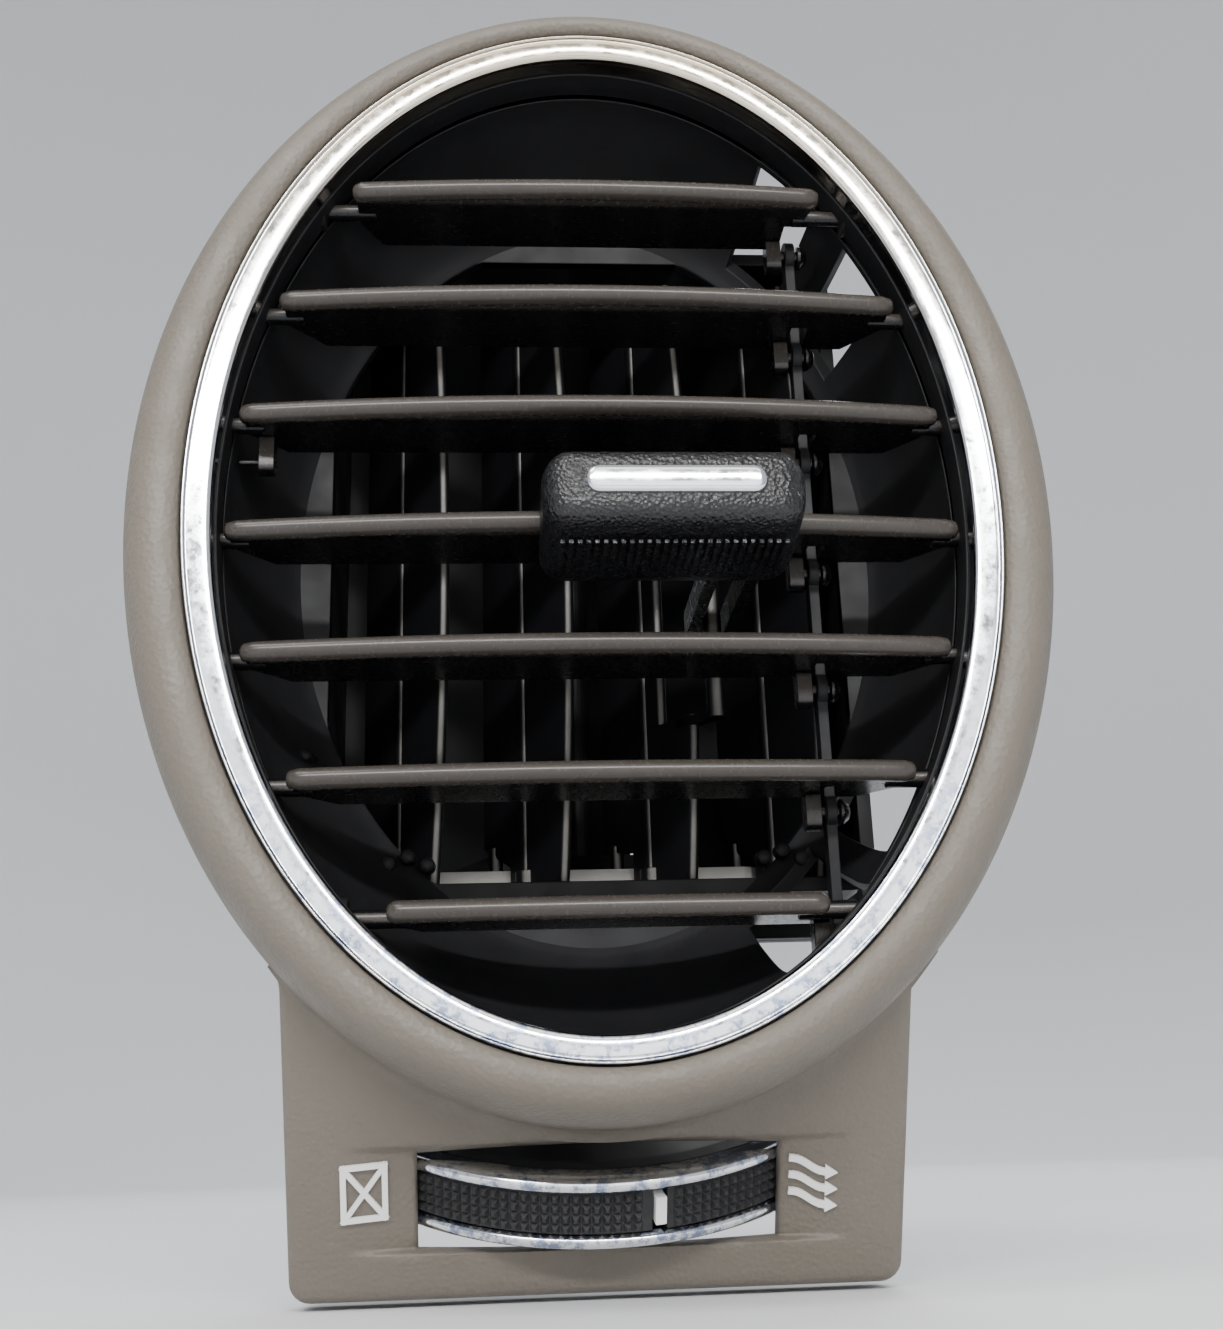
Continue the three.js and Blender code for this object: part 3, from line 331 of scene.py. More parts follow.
def taupe_plastic():
    finish = Finish("taupe_grain", (0.130, 0.112, 0.090), 0.6)
    tone = finish.noise(0.05, 4.0)
    lighter = finish.remap(tone, 0.3, 0.7, 0, 1)
    finish.color(finish.color_mix(lighter, (0.126, 0.110, 0.089), (0.139, 0.121, 0.098)))
    finish.roughness(finish.remap(finish.noise(0.3, 3.0), 0.3, 0.7, 0.46, 0.62))
    finish.bump(finish.cells(1.6), 0.55, 0.13)
    finish.bump(finish.noise(2.6, 3.0, 0.6), 0.5, 0.09)
    return finish.material


def chrome_plate():
    finish = Finish("bright_chrome", (0.83, 0.84, 0.86), 0.09, 1.0)
    wear = finish.noise(0.5, 7.0, 0.75)
    finish.roughness(finish.remap(wear, 0.35, 0.75, 0.05, 0.28))
    # Mottled wear pattern whose blue tint is a painted reflection, stronger towards the bottom.
    low_down = finish.remap(finish.along("Z"), -48 * MM, -8 * MM, 1, 0.12)
    worn_patches_painted_blue = finish.color_mix(low_down, (0, 0, 0), finish.remap(wear, 0.47, 0.57, 0, 0.95))
    # Painted reflection: the chrome's colour goes from bluish white low down to tan towards the top.
    upper = finish.remap(finish.along("Z"), 5 * MM, 55 * MM, 0, 1)
    plating_and_painted_tan_reflection = finish.color_mix(upper, (0.86, 0.88, 0.91), (0.60, 0.53, 0.42))
    finish.color(finish.color_mix(worn_patches_painted_blue, plating_and_painted_tan_reflection, (0.24, 0.29, 0.42)))
    finish.bump(finish.noise(1.2, 4.0, 0.6, (1, 1, 0.25)), 0.12, 0.03)
    return finish.material


def satin_black():
    finish = Finish("satin_black", (0.012, 0.012, 0.013), 0.4)
    dust = finish.noise(0.9, 8.0, 0.8)
    pale_tinted = finish.remap(dust, 0.62, 0.8, 0, 0.35)
    finish.color(finish.color_mix(pale_tinted, (0.011, 0.011, 0.012), (0.07, 0.066, 0.06)))
    finish.shader.inputs["Specular IOR Level"].default_value = 0.22
    finish.roughness(finish.remap(finish.noise(0.2, 4.0), 0.3, 0.7, 0.42, 0.6))
    finish.bump(finish.noise(2.2, 4.0), 0.2, 0.03)
    return finish.material


def nose_paint_and_painted_front_highlight(name, paint_and_highlight_colour, paint_end_mm, roughness):
    """Black moulding with paint on its nose up to paint_end_mm, and a painted highlight of the same colour on
    all that faces the front.
    """
    finish = Finish(name, paint_and_highlight_colour, roughness)
    toward_front = finish.nodes.new("ShaderNodeSeparateXYZ")
    finish.links.new(finish.nodes["Texture Coordinate"].outputs["Normal"], toward_front.inputs["Vector"])
    # Painted highlight: faces turned to the front get the lighter colour, as a light from the front would
    # show them.
    front_facing_painted_highlight = finish.remap(toward_front.outputs["Y"], -0.96, -0.84, 1, 0)
    nose = finish.remap(finish.along("Y"), paint_end_mm * MM, (paint_end_mm + 1.0) * MM, 1, 0)
    nose_paint_and_highlight_mask = finish.nodes.new("ShaderNodeMath")
    nose_paint_and_highlight_mask.operation = "MAXIMUM"
    finish.links.new(front_facing_painted_highlight, nose_paint_and_highlight_mask.inputs[0])
    finish.links.new(nose, nose_paint_and_highlight_mask.inputs[1])
    mottled = finish.color_mix(finish.noise(0.6, 5.0), paint_and_highlight_colour, tuple(c * 1.3 for c in paint_and_highlight_colour))
    finish.color(finish.color_mix(nose_paint_and_highlight_mask.outputs[0], (0.005, 0.005, 0.006), mottled))
    finish.shader.inputs["Specular IOR Level"].default_value = 0.35
    finish.roughness(finish.remap(finish.noise(1.5, 4.0), 0.3, 0.7, roughness - 0.05, roughness + 0.06))
    finish.bump(finish.noise(3.5, 3.0, 0.6), 0.15, 0.015)
    return finish.material


def bronze_vane():
    # Bronze paint on the nose; the same colour on the lugs and other front faces is a painted highlight.
    return nose_paint_and_painted_front_highlight("bronze_vane", (0.036, 0.031, 0.027), 2.4, 0.24)


def black_with_painted_front_highlight():
    # Painted highlight: the vertical vanes are coloured pale where they face the front; this moulding has no
    # nose paint.
    no_painted_nose = -50.0
    return nose_paint_and_painted_front_highlight("black_with_painted_front_highlight", (0.085, 0.080, 0.072), no_painted_nose, 0.36)


def knob_grain():
    finish = Finish("knob_grain", (0.006, 0.006, 0.007), 0.3)
    finish.roughness(finish.remap(finish.noise(1.2, 3.0), 0.3, 0.7, 0.22, 0.42))
    finish.bump(finish.cells(2.3), 0.85, 0.16)
    finish.bump(finish.noise(3.4, 3.0, 0.6), 0.6, 0.08)
    return finish.material


def black_rubber():
    finish = Finish("black_rubber", (0.016, 0.016, 0.017), 0.62)
    finish.roughness(finish.remap(finish.noise(1.0, 3.0), 0.3, 0.7, 0.55, 0.72))
    finish.bump(finish.noise(4.0, 3.0), 0.25, 0.03)
    return finish.material


def white_print():
    finish = Finish("white_print", (0.82, 0.82, 0.80), 0.45)
    finish.roughness(finish.remap(finish.noise(1.0, 3.0), 0.3, 0.7, 0.4, 0.55))
    finish.bump(finish.noise(3.0, 2.0), 0.15, 0.02)
    return finish.material


def zinc_steel():
    finish = Finish("zinc_steel", (0.55, 0.56, 0.57), 0.33, 1.0)
    finish.roughness(finish.remap(finish.noise(1.0, 4.0), 0.3, 0.7, 0.25, 0.45))
    finish.bump(finish.noise(2.0, 3.0, 0.5, (6, 1, 1)), 0.15, 0.02)
    return finish.material


def grey_nylon():
    finish = Finish("nylon", (0.36, 0.35, 0.32), 0.45)
    finish.roughness(finish.remap(finish.noise(0.8, 3.0), 0.3, 0.7, 0.38, 0.55))
    finish.bump(finish.noise(2.0, 3.0), 0.15, 0.03)
    return finish.material


def soft_foam():
    finish = Finish("soft_foam", (0.022, 0.022, 0.024), 0.92)
    finish.bump(finish.cells(1.6), 0.8, 0.25)
    finish.roughness(finish.remap(finish.noise(1.0, 3.0), 0.3, 0.7, 0.85, 0.98))
    return finish.material


LOOKS = {
    "taupe": taupe_plastic(), "chrome": chrome_plate(), "black": satin_black(), "vane": bronze_vane(),
    "knob": knob_grain(), "rubber": black_rubber(), "white": white_print(), "steel": zinc_steel(),
    "nylon": grey_nylon(), "foam": soft_foam(), "pale_tinted": black_with_painted_front_highlight(),
}


# ---------- bezel ----------
def bezel_ring(shape):
    def across(u, y):
        side = TRIM_OUT[0] + u * (BEZEL_OUT[0] - TRIM_OUT[0])
        top = TRIM_OUT[1] + u * (BEZEL_OUT[1] - TRIM_OUT[1])
        bottom = TRIM_OUT[1] + u * (BEZEL_OUT[2] - TRIM_OUT[1])
        return (side, top, bottom, y)
    front = smooth_path([(0.0, 0.2), (0.02, -0.35), (0.09, -0.85), (0.24, -1.2), (0.42, -1.12), (0.6, -0.55),
                         (0.76, 0.6), (0.88, 2.2), (0.96, 4.4), (0.995, 7.0), (1.0, 9.0)], 4)
    profile = [across(0.0, 3.0)] + [across(u, y) for u, y in front]
    profile += [across(1.0, BEZEL_REAR_Y - 0.3), across(0.96, BEZEL_REAR_Y), across(0.72, BEZEL_REAR_Y)]
    profile += [across(0.68, BEZEL_REAR_Y - 0.3), across(0.68, 8.0), across(0.6, 5.0)]
    profile += [(43.7, 59.3, 59.3, 5.0), (43.7, 59.3, 59.3, 3.0)]
    oval_ring(shape, profile, 288)


def slot_outline(steps=26):
    middle, half = sum(SLOT_X) / 2, (SLOT_X[1] - SLOT_X[0]) / 2
    points = []
    for i in range(steps + 1):
        u = -1 + 2 * i / steps
        points.append((middle + u * half, SLOT_V[0] - 0.5 * (1 - u * u) + 0.3))
    for i in range(1, 8):
        points.append((middle + half, SLOT_V[0] + 0.3 + (SLOT_V[1] - SLOT_V[0] - 0.6) * i / 8))
    for i in range(steps + 1):
        u = 1 - 2 * i / steps
        points.append((middle + u * half, SLOT_V[1] + 0.5 * (1 - u * u) - 0.3))
    for i in range(1, 8):
        points.append((middle - half, SLOT_V[1] - 0.3 - (SLOT_V[1] - SLOT_V[0] - 0.6) * i / 8))
    return points


def concave_corner(side):
    """Where the plate's side runs out into the ring: points from the side up to the ring, as (x, z)."""
    radius = 4.0
    edge = PLATE_X[0] if side < 0 else PLATE_X[1]
    cx = edge + side * radius
    ring = [(BEZEL_OUT[0] * math.cos(math.radians(d)), BEZEL_OUT[2] * math.sin(math.radians(d)))
            for d in np.arange(-90, 0, 0.25)]
    ring = [(side * x, z) for x, z in ring]
    cz = -40.0
    while min(math.hypot(cx - x, cz - z) for x, z in ring) < radius or cz > -45:
        cz -= 0.05
    near = min(ring, key=lambda p: math.hypot(cx - p[0], cz - p[1]))
    first = math.pi if side > 0 else 0.0
    last = math.atan2(near[1] - cz, near[0] - cx)
    if side > 0 and last < 0:
        last += 2 * math.pi
    return [(cx + radius * math.cos(first + (last - first) * i / 10),
             cz + radius * math.sin(first + (last - first) * i / 10)) for i in range(11)]


def plate_outline():
    """The plate's edge as (x, z), anticlockwise, and how many of its points carry a side wall."""
    right = concave_corner(1)
    left = concave_corner(-1)
    corner = rounded_rectangle(PLATE_X, (PLATE_BOTTOM_Z, -40), 2.2, 6)
    lower_left, lower_right = corner[14:21], corner[21:28]
    side_steps = 24
    points = list(reversed(left))
    for i in range(1, side_steps):
        points.append((PLATE_X[0], left[0][1] + (lower_left[0][1] - left[0][1]) * i / side_steps))
    points += lower_left
    for i in range(1, 60):
        points.append((lower_left[-1][0] + (lower_right[0][0] - lower_left[-1][0]) * i / 60, PLATE_BOTTOM_Z))
    points += lower_right
    for i in range(1, side_steps):
        points.append((PLATE_X[1], lower_right[-1][1] + (right[0][1] - lower_right[-1][1]) * i / side_steps))
    points += right
    walled = len(points)
    a, b = BEZEL_OUT[0] - 1.0, BEZEL_OUT[2] - 0.8
    start = math.atan2(right[-1][1] / b, right[-1][0] / a)
    stop = math.atan2(left[-1][1] / b, left[-1][0] / a)
    for i in range(0, 61):
        t = start + (stop - start) * i / 60
        points.append((a * math.cos(t), b * math.sin(t)))
    return points, walled


def distance_to(points, loop, closed=True):
    """Shortest distance from each point to a polyline."""
    points = np.array(points, float)
    loop = np.array(loop, float)
    ends = np.roll(loop, -1, axis=0) if closed else loop[1:]
    starts = loop if closed else loop[:-1]
    best = np.full(len(points), 1e9)
    for a, b in zip(starts, ends):
        ab = b - a
        length = max(float(ab @ ab), 1e-12)
        t = np.clip(((points - a) @ ab) / length, 0, 1)
        best = np.minimum(best, np.linalg.norm(points - a - t[:, None] * ab, axis=1))
    return best


def inside(points, loop):
    points = np.array(points, float)
    result = np.zeros(len(points), bool)
    loop = np.array(loop, float)
    for (x1, y1), (x2, y2) in zip(loop, np.roll(loop, -1, axis=0)):
        crosses = (y1 > points[:, 1]) != (y2 > points[:, 1])
        with np.errstate(divide="ignore", invalid="ignore"):
            at = (x2 - x1) * (points[:, 1] - y1) / (y2 - y1) + x1
        result ^= crosses & (points[:, 0] < at)
    return result


def dish_height(x, v):
    middle = sum(SLOT_X) / 2
    depth = math.sqrt(DISH_RADIUS ** 2 - min(abs(x - middle), DISH_HALF) ** 2)
    depth -= math.sqrt(DISH_RADIUS ** 2 - DISH_HALF ** 2)
    edge = min(v - (SLOT_V[0] - 0.6), (SLOT_V[1] + 0.6) - v)
    u = min(1.0, max(0.0, edge / 0.9))
    return -depth * u * u * (3 - 2 * u)


def edge_drop(distance, radius):
    """How far a rounded edge falls at that distance from the edge."""
    short = max(0.0, radius - distance)
    return radius - math.sqrt(max(0.0, radius * radius - short * short))


def fill(outline, hole, spacing):
    """Triangles between an outline and a hole, with inner points for smooth curvature."""
    xs, vs = [p[0] for p in outline], [p[1] for p in outline]
    columns, rows = np.arange(min(xs), max(xs), spacing), np.arange(min(vs), max(vs), spacing)
    grid = [(x, v) for x in columns for v in rows]
    extra = []
    for loop, sign in ((outline, 1), (hole, -1)):
        for i, p in enumerate(loop):
            q, r = loop[i - 1], loop[(i + 1) % len(loop)]
            nx, nv = -(r[1] - q[1]), r[0] - q[0]
            length = math.hypot(nx, nv) or 1.0
            for step in (0.12, 0.3, 0.55, 0.9):
                extra.append((p[0] + sign * nx / length * step, p[1] + sign * nv / length * step))
    for x in np.arange(-28.4, 26.9, 0.55):
        for step in np.arange(0, 1.06, 0.15):
            extra.append((x, SLOT_V[0] - 0.6 + step))
            extra.append((x, SLOT_V[1] + 0.6 - step))
    inner = np.array(grid + extra)
    keep = inside(inner, outline) & ~inside(inner, hole)
    keep &= (distance_to(inner, outline) > 0.08) & (distance_to(inner, hole) > 0.08)
    near = (distance_to(inner, outline) < 1.1) | (distance_to(inner, hole) < 1.1)
    near |= (np.abs(inner[:, 1] - SLOT_V[0]) < 1.2) | (np.abs(inner[:, 1] - SLOT_V[1]) < 1.2)
    keep &= ~(near & (np.arange(len(inner)) < len(grid)))
    points = list(outline) + list(hole) + [tuple(p) for p in inner[keep]]
    edges = [(i, (i + 1) % len(outline)) for i in range(len(outline))]
    edges += [(len(outline) + i, len(outline) + (i + 1) % len(hole)) for i in range(len(hole))]
    result = delaunay_2d_cdt([Vector(p) for p in points], edges, [], 0, 1e-6)
    verts, triangles, source = result[0], result[2], result[3]
    order = {}
    for new, old in enumerate(source):
        order[new] = old[0] if old else len(points)
        if not old:
            points.append(tuple(verts[new]))
    centres = [(sum(verts[i][0] for i in t) / 3, sum(verts[i][1] for i in t) / 3) for t in triangles]
    good = inside(centres, outline) & ~inside(centres, hole)
    return points, [tuple(order[i] for i in t) for t, ok in zip(triangles, good) if ok]


def inset_loop(loop, amount, walled):
    result = []
    for i, p in enumerate(loop):
        q, r = loop[i - 1], loop[(i + 1) % len(loop)]
        nx, nv = -(r[1] - q[1]), r[0] - q[0]
        length = math.hypot(nx, nv) or 1.0
        step = amount if i < walled else 0.02
        result.append((p[0] + nx / length * step, p[1] + nv / length * step))
    return result


def bezel_plate(shape):
    """The sloping plate: front skin with dish and slot, side walls, and the skin's back."""
    outline_xz, walled = plate_outline()
    outline = [(x, (z - HINGE_Z) / COS) for x, z in outline_xz]
    slot = slot_outline()
    points, triangles = fill(outline, slot, 0.9)
    rim = outline[:walled]
    to_rim = distance_to(points, rim, closed=False)
    to_slot = distance_to(points, slot)
    front = []
    for (x, v), rim_gap, slot_gap in zip(points, to_rim, to_slot):
        h = dish_height(x, v) - edge_drop(rim_gap, 1.0) - edge_drop(slot_gap, 0.45)
        y = HINGE_Y - v * SIN - h / COS
        front.append((x, y, HINGE_Z + v * COS))
    back_loop = inset_loop(outline, 2.0, walled)
    back_points, back_triangles = fill(back_loop, slot, 1.8)
    back = []
    for x, v in back_points:
        y = HINGE_Y - v * SIN + 2.5
        back.append((x, y + 0.4 if abs(x) < 29 and -38 < v < -20 else y, HINGE_Z + v * COS))
    count, hole = len(outline), len(slot)
    verts = front + back
    shift = len(front)
    rear = len(verts)
    for i, (x, v) in enumerate(outline):
        y = PLATE_REAR_Y if i < walled else front[i][1] + 2.0
        verts.append((x, y, HINGE_Z + v * COS))
    inner_rear = len(verts)
    for i, (x, v) in enumerate(back_loop):
        y = PLATE_REAR_Y if i < walled else back[i][1] + 0.1
        verts.append((x, y, HINGE_Z + v * COS))
    faces = [tuple(t) for t in triangles] + [tuple(shift + i for i in reversed(t)) for t in back_triangles]
    for i in range(count):
        j = (i + 1) % count
        faces.append((i, j, rear + j, rear + i))
        faces.append((rear + i, rear + j, inner_rear + j, inner_rear + i))
        faces.append((inner_rear + i, inner_rear + j, shift + j, shift + i))
    for i in range(hole):
        j = (i + 1) % hole
        faces.append((count + i, count + j, shift + count + j, shift + count + i))
    shape.add(verts, faces)


def ring_fillet(shape):
    """The soft inner corner where the ring's lower wall meets the plate."""
    radius = 1.3
    loops = []
    for i in range(121):
        t = math.radians(-132 + 84 * i / 120)
        x, z = BEZEL_OUT[0] * math.cos(t), BEZEL_OUT[2] * math.sin(t)
        nx, nz = math.cos(t) / BEZEL_OUT[0], math.sin(t) / BEZEL_OUT[2]
        length = math.hypot(nx, nz)
        nx, nz = nx / length, nz / length
        fade = min(1.0, min(i, 120 - i) / 14)
        r = radius * (0.15 + 0.85 * fade)
        loop = []
        for k in range(9):
            a = math.pi / 2 * k / 8
            d, f = r * (1 - math.sin(a)), r * (1 - math.cos(a))
            zz = z + nz * d
            loop.append((x + nx * d, HINGE_Y - (zz - HINGE_Z) * SIN / COS - f - 0.01, zz))
        loop.append((x - nx * 0.4, HINGE_Y - (z - HINGE_Z) * SIN / COS - r, z - nz * 0.4))
        loop.append((x - nx * 0.4, HINGE_Y - (z - HINGE_Z) * SIN / COS + 0.5, z - nz * 0.4))
        loops.append(loop)
    shape.loft(loops)


def build_bezel():
    ring = Shape()
    bezel_ring(ring)
    ring.make("bezel_ring", LOOKS["taupe"], "housing", ["bezel_ring"], sharp=50)
    plate = Shape()
    bezel_plate(plate)
    ring_fillet(plate)
    plate.make("bezel_plate", LOOKS["taupe"], "housing", ["bezel_plate"], sharp=42)


def build_trim():
    a, b = OPENING
    oa, ob = TRIM_OUT[0] - 0.22, TRIM_OUT[1] - 0.22
    front = [(0, 1.0), (0.0, 0.55), (0.06, 0.2), (0.2, 0.0), (0.45, -0.14), (0.7, -0.2), (0.84, -0.2),
             (0.88, -0.38), (0.94, -0.52), (1.0, -0.35), (1.0, 0.3)]
    rows = smooth_path(front, 4)
    profile = [(a + u * (oa - a), b + u * (ob - b), b + u * (ob - b), y) for u, y in rows]
    profile += [(oa, ob, ob, 2.6), (a, b, b, 2.6)]
    ring = Shape()
    oval_ring(ring, profile, 288)
    ring.make("trim_ring_bright", LOOKS["chrome"], "housing", ["trim_ring"], sharp=60)


# ---------- shroud ----------
def funnel_rows():
    inner = [(*COLLAR, 2.9), (*COLLAR, 5.0), (*COLLAR, 7.5), (40.6, 55.9, 11.0), (38.6, 52.6, 16.0),
             (36.0, 48.4, 20.0), (*FUNNEL_END, LEDGE_Y[0])]
    return [(a, b, y) for a, b, y in smooth_path(inner, 4)]


def funnel_part(shape, y_low, y_high, start=0.0, end=360.0, steps=240):
    rows = [row for row in funnel_rows() if y_low - 0.01 <= row[2] <= y_high + 0.01]
    profile = [(a, b, b, y) for a, b, y in rows]
    profile += [(a + WALL, b + WALL, b + WALL, y + (0.4 if y > 10 else 0)) for a, b, y in reversed(rows)]
    oval_ring(shape, profile, steps, start, end)


def airway_radius(t):
    """Where the opening in the ledge lies in direction t: the oval cut off by the vane frame."""
    c, s = abs(math.cos(t)), abs(math.sin(t))
    oval = 1 / math.sqrt((c / FUNNEL_END[0]) ** 2 + (s / FUNNEL_END[1]) ** 2)
    side = BOX_X / max(c, 1e-6)
    end = (BOX_Z[1] if math.sin(t) > 0 else -BOX_Z[0]) / max(s, 1e-6)
    return min(oval, side, end)


def ledge(shape, steps=240):
    loops = []
    for i in range(steps):
        t = 2 * math.pi * i / steps
        c, s = math.cos(t), math.sin(t)
        r = airway_radius(t)
        outer = 1 / math.sqrt((c / LEDGE_OUT[0]) ** 2 + (s / LEDGE_OUT[1]) ** 2)
        front, rear = LEDGE_Y
        corners = [(r, front), (outer, front - 0.3), (outer, rear), (r, rear)]
        loops.append([(reach * c, y, reach * s) for reach, y in corners])
    shape.loft(loops, closed=True)


def vane_frame(shape):
    def tube(x, z, radius, inner_x, inner_z, inner_radius, low, high):
        outer = rounded_rectangle(x, z, radius)
        inner = rounded_rectangle(inner_x, inner_z, inner_radius)
        loops = [[(o[0], low, o[1]), (o[0], high, o[1]), (i[0], high, i[1]), (i[0], low, i[1])]
                 for o, i in zip(outer, inner)]
        shape.loft(loops, closed=True)

    def wider(margin):
        return (-BOX_X - margin, BOX_X + margin), (BOX_Z[0] - margin, BOX_Z[1] + margin)
    rim, rim_depth = 4.5, 2
    tube(*wider(WALL), 3, *wider(0), 1.6, *BOX_Y)
    tube(*wider(rim), 4, *wider(0.5), 1.8, BOX_Y[1] - rim_depth, BOX_Y[1])


def build_shroud():
    shape = Shape()
    funnel_part(shape, 2.9, 7.3)
    funnel_part(shape, 7.1, 8.3, -47, 297)
    funnel_part(shape, 20.0, 21.6)
    for start, end in WALL_SECTORS:
        funnel_part(shape, 7.5, 21.0, start, end, max(6, int((end - start) / 1.5)))
    inner, outer = (42.4, 58.1, 58.1), (48.9, 62.3, 63.6)
    front, rear = FLANGE_Y
    oval_ring(shape, [(*inner, front), (*outer, front), (*outer, rear), (*inner, rear)])
    ledge(shape)
    vane_frame(shape)
    for side in (-1, 1):
        for z in HVANE_Z:
            wall = half_width(abs(z), *COLLAR)
            socket = [(0, 2.2), (2.2, 2.1), (2.3, 1.2), (0.8, 1.2)]
            shape.turned((side * (wall + 0.9), HVANE_PIVOT_Y, z), (side, 0, 0), socket)
    shape.block((-14, 14), (26, 41), (BOX_Z[0] - WALL - 1.2, BOX_Z[0] - WALL + 0.3))
    for side in (-1, 1):
        for offset, height in ((-2.2, -36.4), (0.0, -35.6), (2.2, -36.6)):
            x = side * 21.5 + offset
            shape.turned((x, 21.6, height), (0, -1, 0), [(0, 0.95), (1.9, 0.85), (2.2, 0.4)])
    shape.turned((-33.0, 20.6, -25.0), (0, -1, 0.25), [(0, 1.6), (3.4, 0.7), (3.7, 0.3)])
    nodes = ["shroud_collar", "shroud_funnel", "mount_flange", "vane_frame"]
    shape.make("shroud_moulding", LOOKS["black"], "housing", nodes, bevel=0.15)


# ---------- horizontal vanes ----------
def vane_half(z):
    return half_width(abs(z) + 2.7, *COLLAR) - 0.5


def nosing_y(x):
    return 0.75 + 2.8 * (x / COLLAR[0]) ** 2


def build_hvane(k):
    z = HVANE_Z[k]
    half = vane_half(z)
    rear_half = half - (3.0 if k in (0, 6) else 4.5)
    shape = Shape()
    loops = []
    steps, around = 64, 28
    for i in range(steps + 1):
        u = -1 + 2 * i / steps
        x = half * math.sin(u * math.pi / 2) if abs(u) > 0.9 else half * u * math.sin(0.9 * math.pi / 2) / 0.9
        end_gap = max(0.0, abs(x) - (half - NOSING_R * 0.8)) / (NOSING_R * 0.8)
        r = max(0.05, NOSING_R * math.sqrt(max(0.0, 1 - end_gap ** 2)))
        loops.append([(x, nosing_y(x) + 1.08 * r * math.cos(t), z + r * math.sin(t))
                      for t in (2 * math.pi * n / around for n in range(around))])
    shape.loft(loops)
    front = [(-half + 0.5 + (2 * half - 1.0) * i / 40) for i in range(41)]
    outline = [(x, nosing_y(x) + 0.4) for x in front]
    notch_left, notch_right, notch_front = HLINK_X - 0.35, HLINK_X + 1.55, 6.8
    notch_left_side = [(notch_left, notch_front), (notch_left, HVANE_REAR_Y)]
    notch = [(notch_right, HVANE_REAR_Y), (notch_right, notch_front)] + notch_left_side
    right = [(half - 0.5, 7.0), (rear_half, HVANE_REAR_Y)]
    left = [(-rear_half, HVANE_REAR_Y), (-half + 0.5, 7.0)]
    if rear_half > HLINK_X + 2:
        outline += right + notch + left
    elif rear_half > HLINK_X - 0.5:
        outline += [(notch_right, 7.0), (notch_right, notch_front)] + notch_left_side + left
    else:
        arm = HLINK_X - 0.4
        outline += [(half - 0.5, 7.0), (rear_half + 0.9, 9.0), (arm, 9.0), (arm, HVANE_REAR_Y)] + left
    shape.prism(outline, z - 0.62, z + 0.62, "z")
    wall = half_width(abs(z), *COLLAR)
    for side in (-1, 1):
        shape.bar((side * (half - 2.5), HVANE_PIVOT_Y, z), (side * (wall + 1.5), HVANE_PIVOT_Y, z), 1.0)
    lug = rounded_rectangle((9.6, 11.9), (z - 4.7, z - 0.2), 1.1)
    shape.prism(lug, HLINK_X - 2.2, HLINK_X - 0.4, "x")
    pin_z = z + HPIN_DZ
    shape.turned((HLINK_X - 0.6, HPIN_Y, pin_z), (1, 0, 0),
                 [(0, 0.85), (2.2, 0.85), (2.25, 1.45), (2.6, 1.45), (3.3, 0.9), (3.45, 0.5)])
    if k == LUG_VANE:
        shape.prism(rounded_rectangle((7.4, 9.7), (z - 4.9, z - 0.2), 0.8), -38.0, -36.2, "x")
        shape.bar((-37.5, 8.6, z - 3.4), (-40.3, 8.6, z - 3.4), 0.35)
    shape.make(f"hvane_{k + 1}_moulding", LOOKS["vane"], f"hvane_{k + 1}_body", [f"hvane_{k + 1}"],
               bevel=0.12)


def build_hlink():
    shape = Shape()
    top, bottom = HVANE_Z[0] + HPIN_DZ + 2, HVANE_Z[-1] + HPIN_DZ - 2
    x = (HLINK_X, HLINK_X + 1.2)
    shape.prism(rounded_rectangle((HPIN_Y - 1.0, HPIN_Y + 1.0), (bottom + 1, top - 1), 0.9), *x, "x")
    for z in HVANE_Z:
        pin_z = z + HPIN_DZ
        turns = np.linspace(0, 2 * math.pi, 28)[:-1]
        outer = [(HPIN_Y + 1.9 * math.cos(t), pin_z + 1.9 * math.sin(t)) for t in turns]
        shape.prism(outer, x[0] + 0.02, x[1] - 0.02, "x")
    shape.make("hvane_link_bar", LOOKS["black"], "hvane_link_body", ["hvane_link"], bevel=0.12)


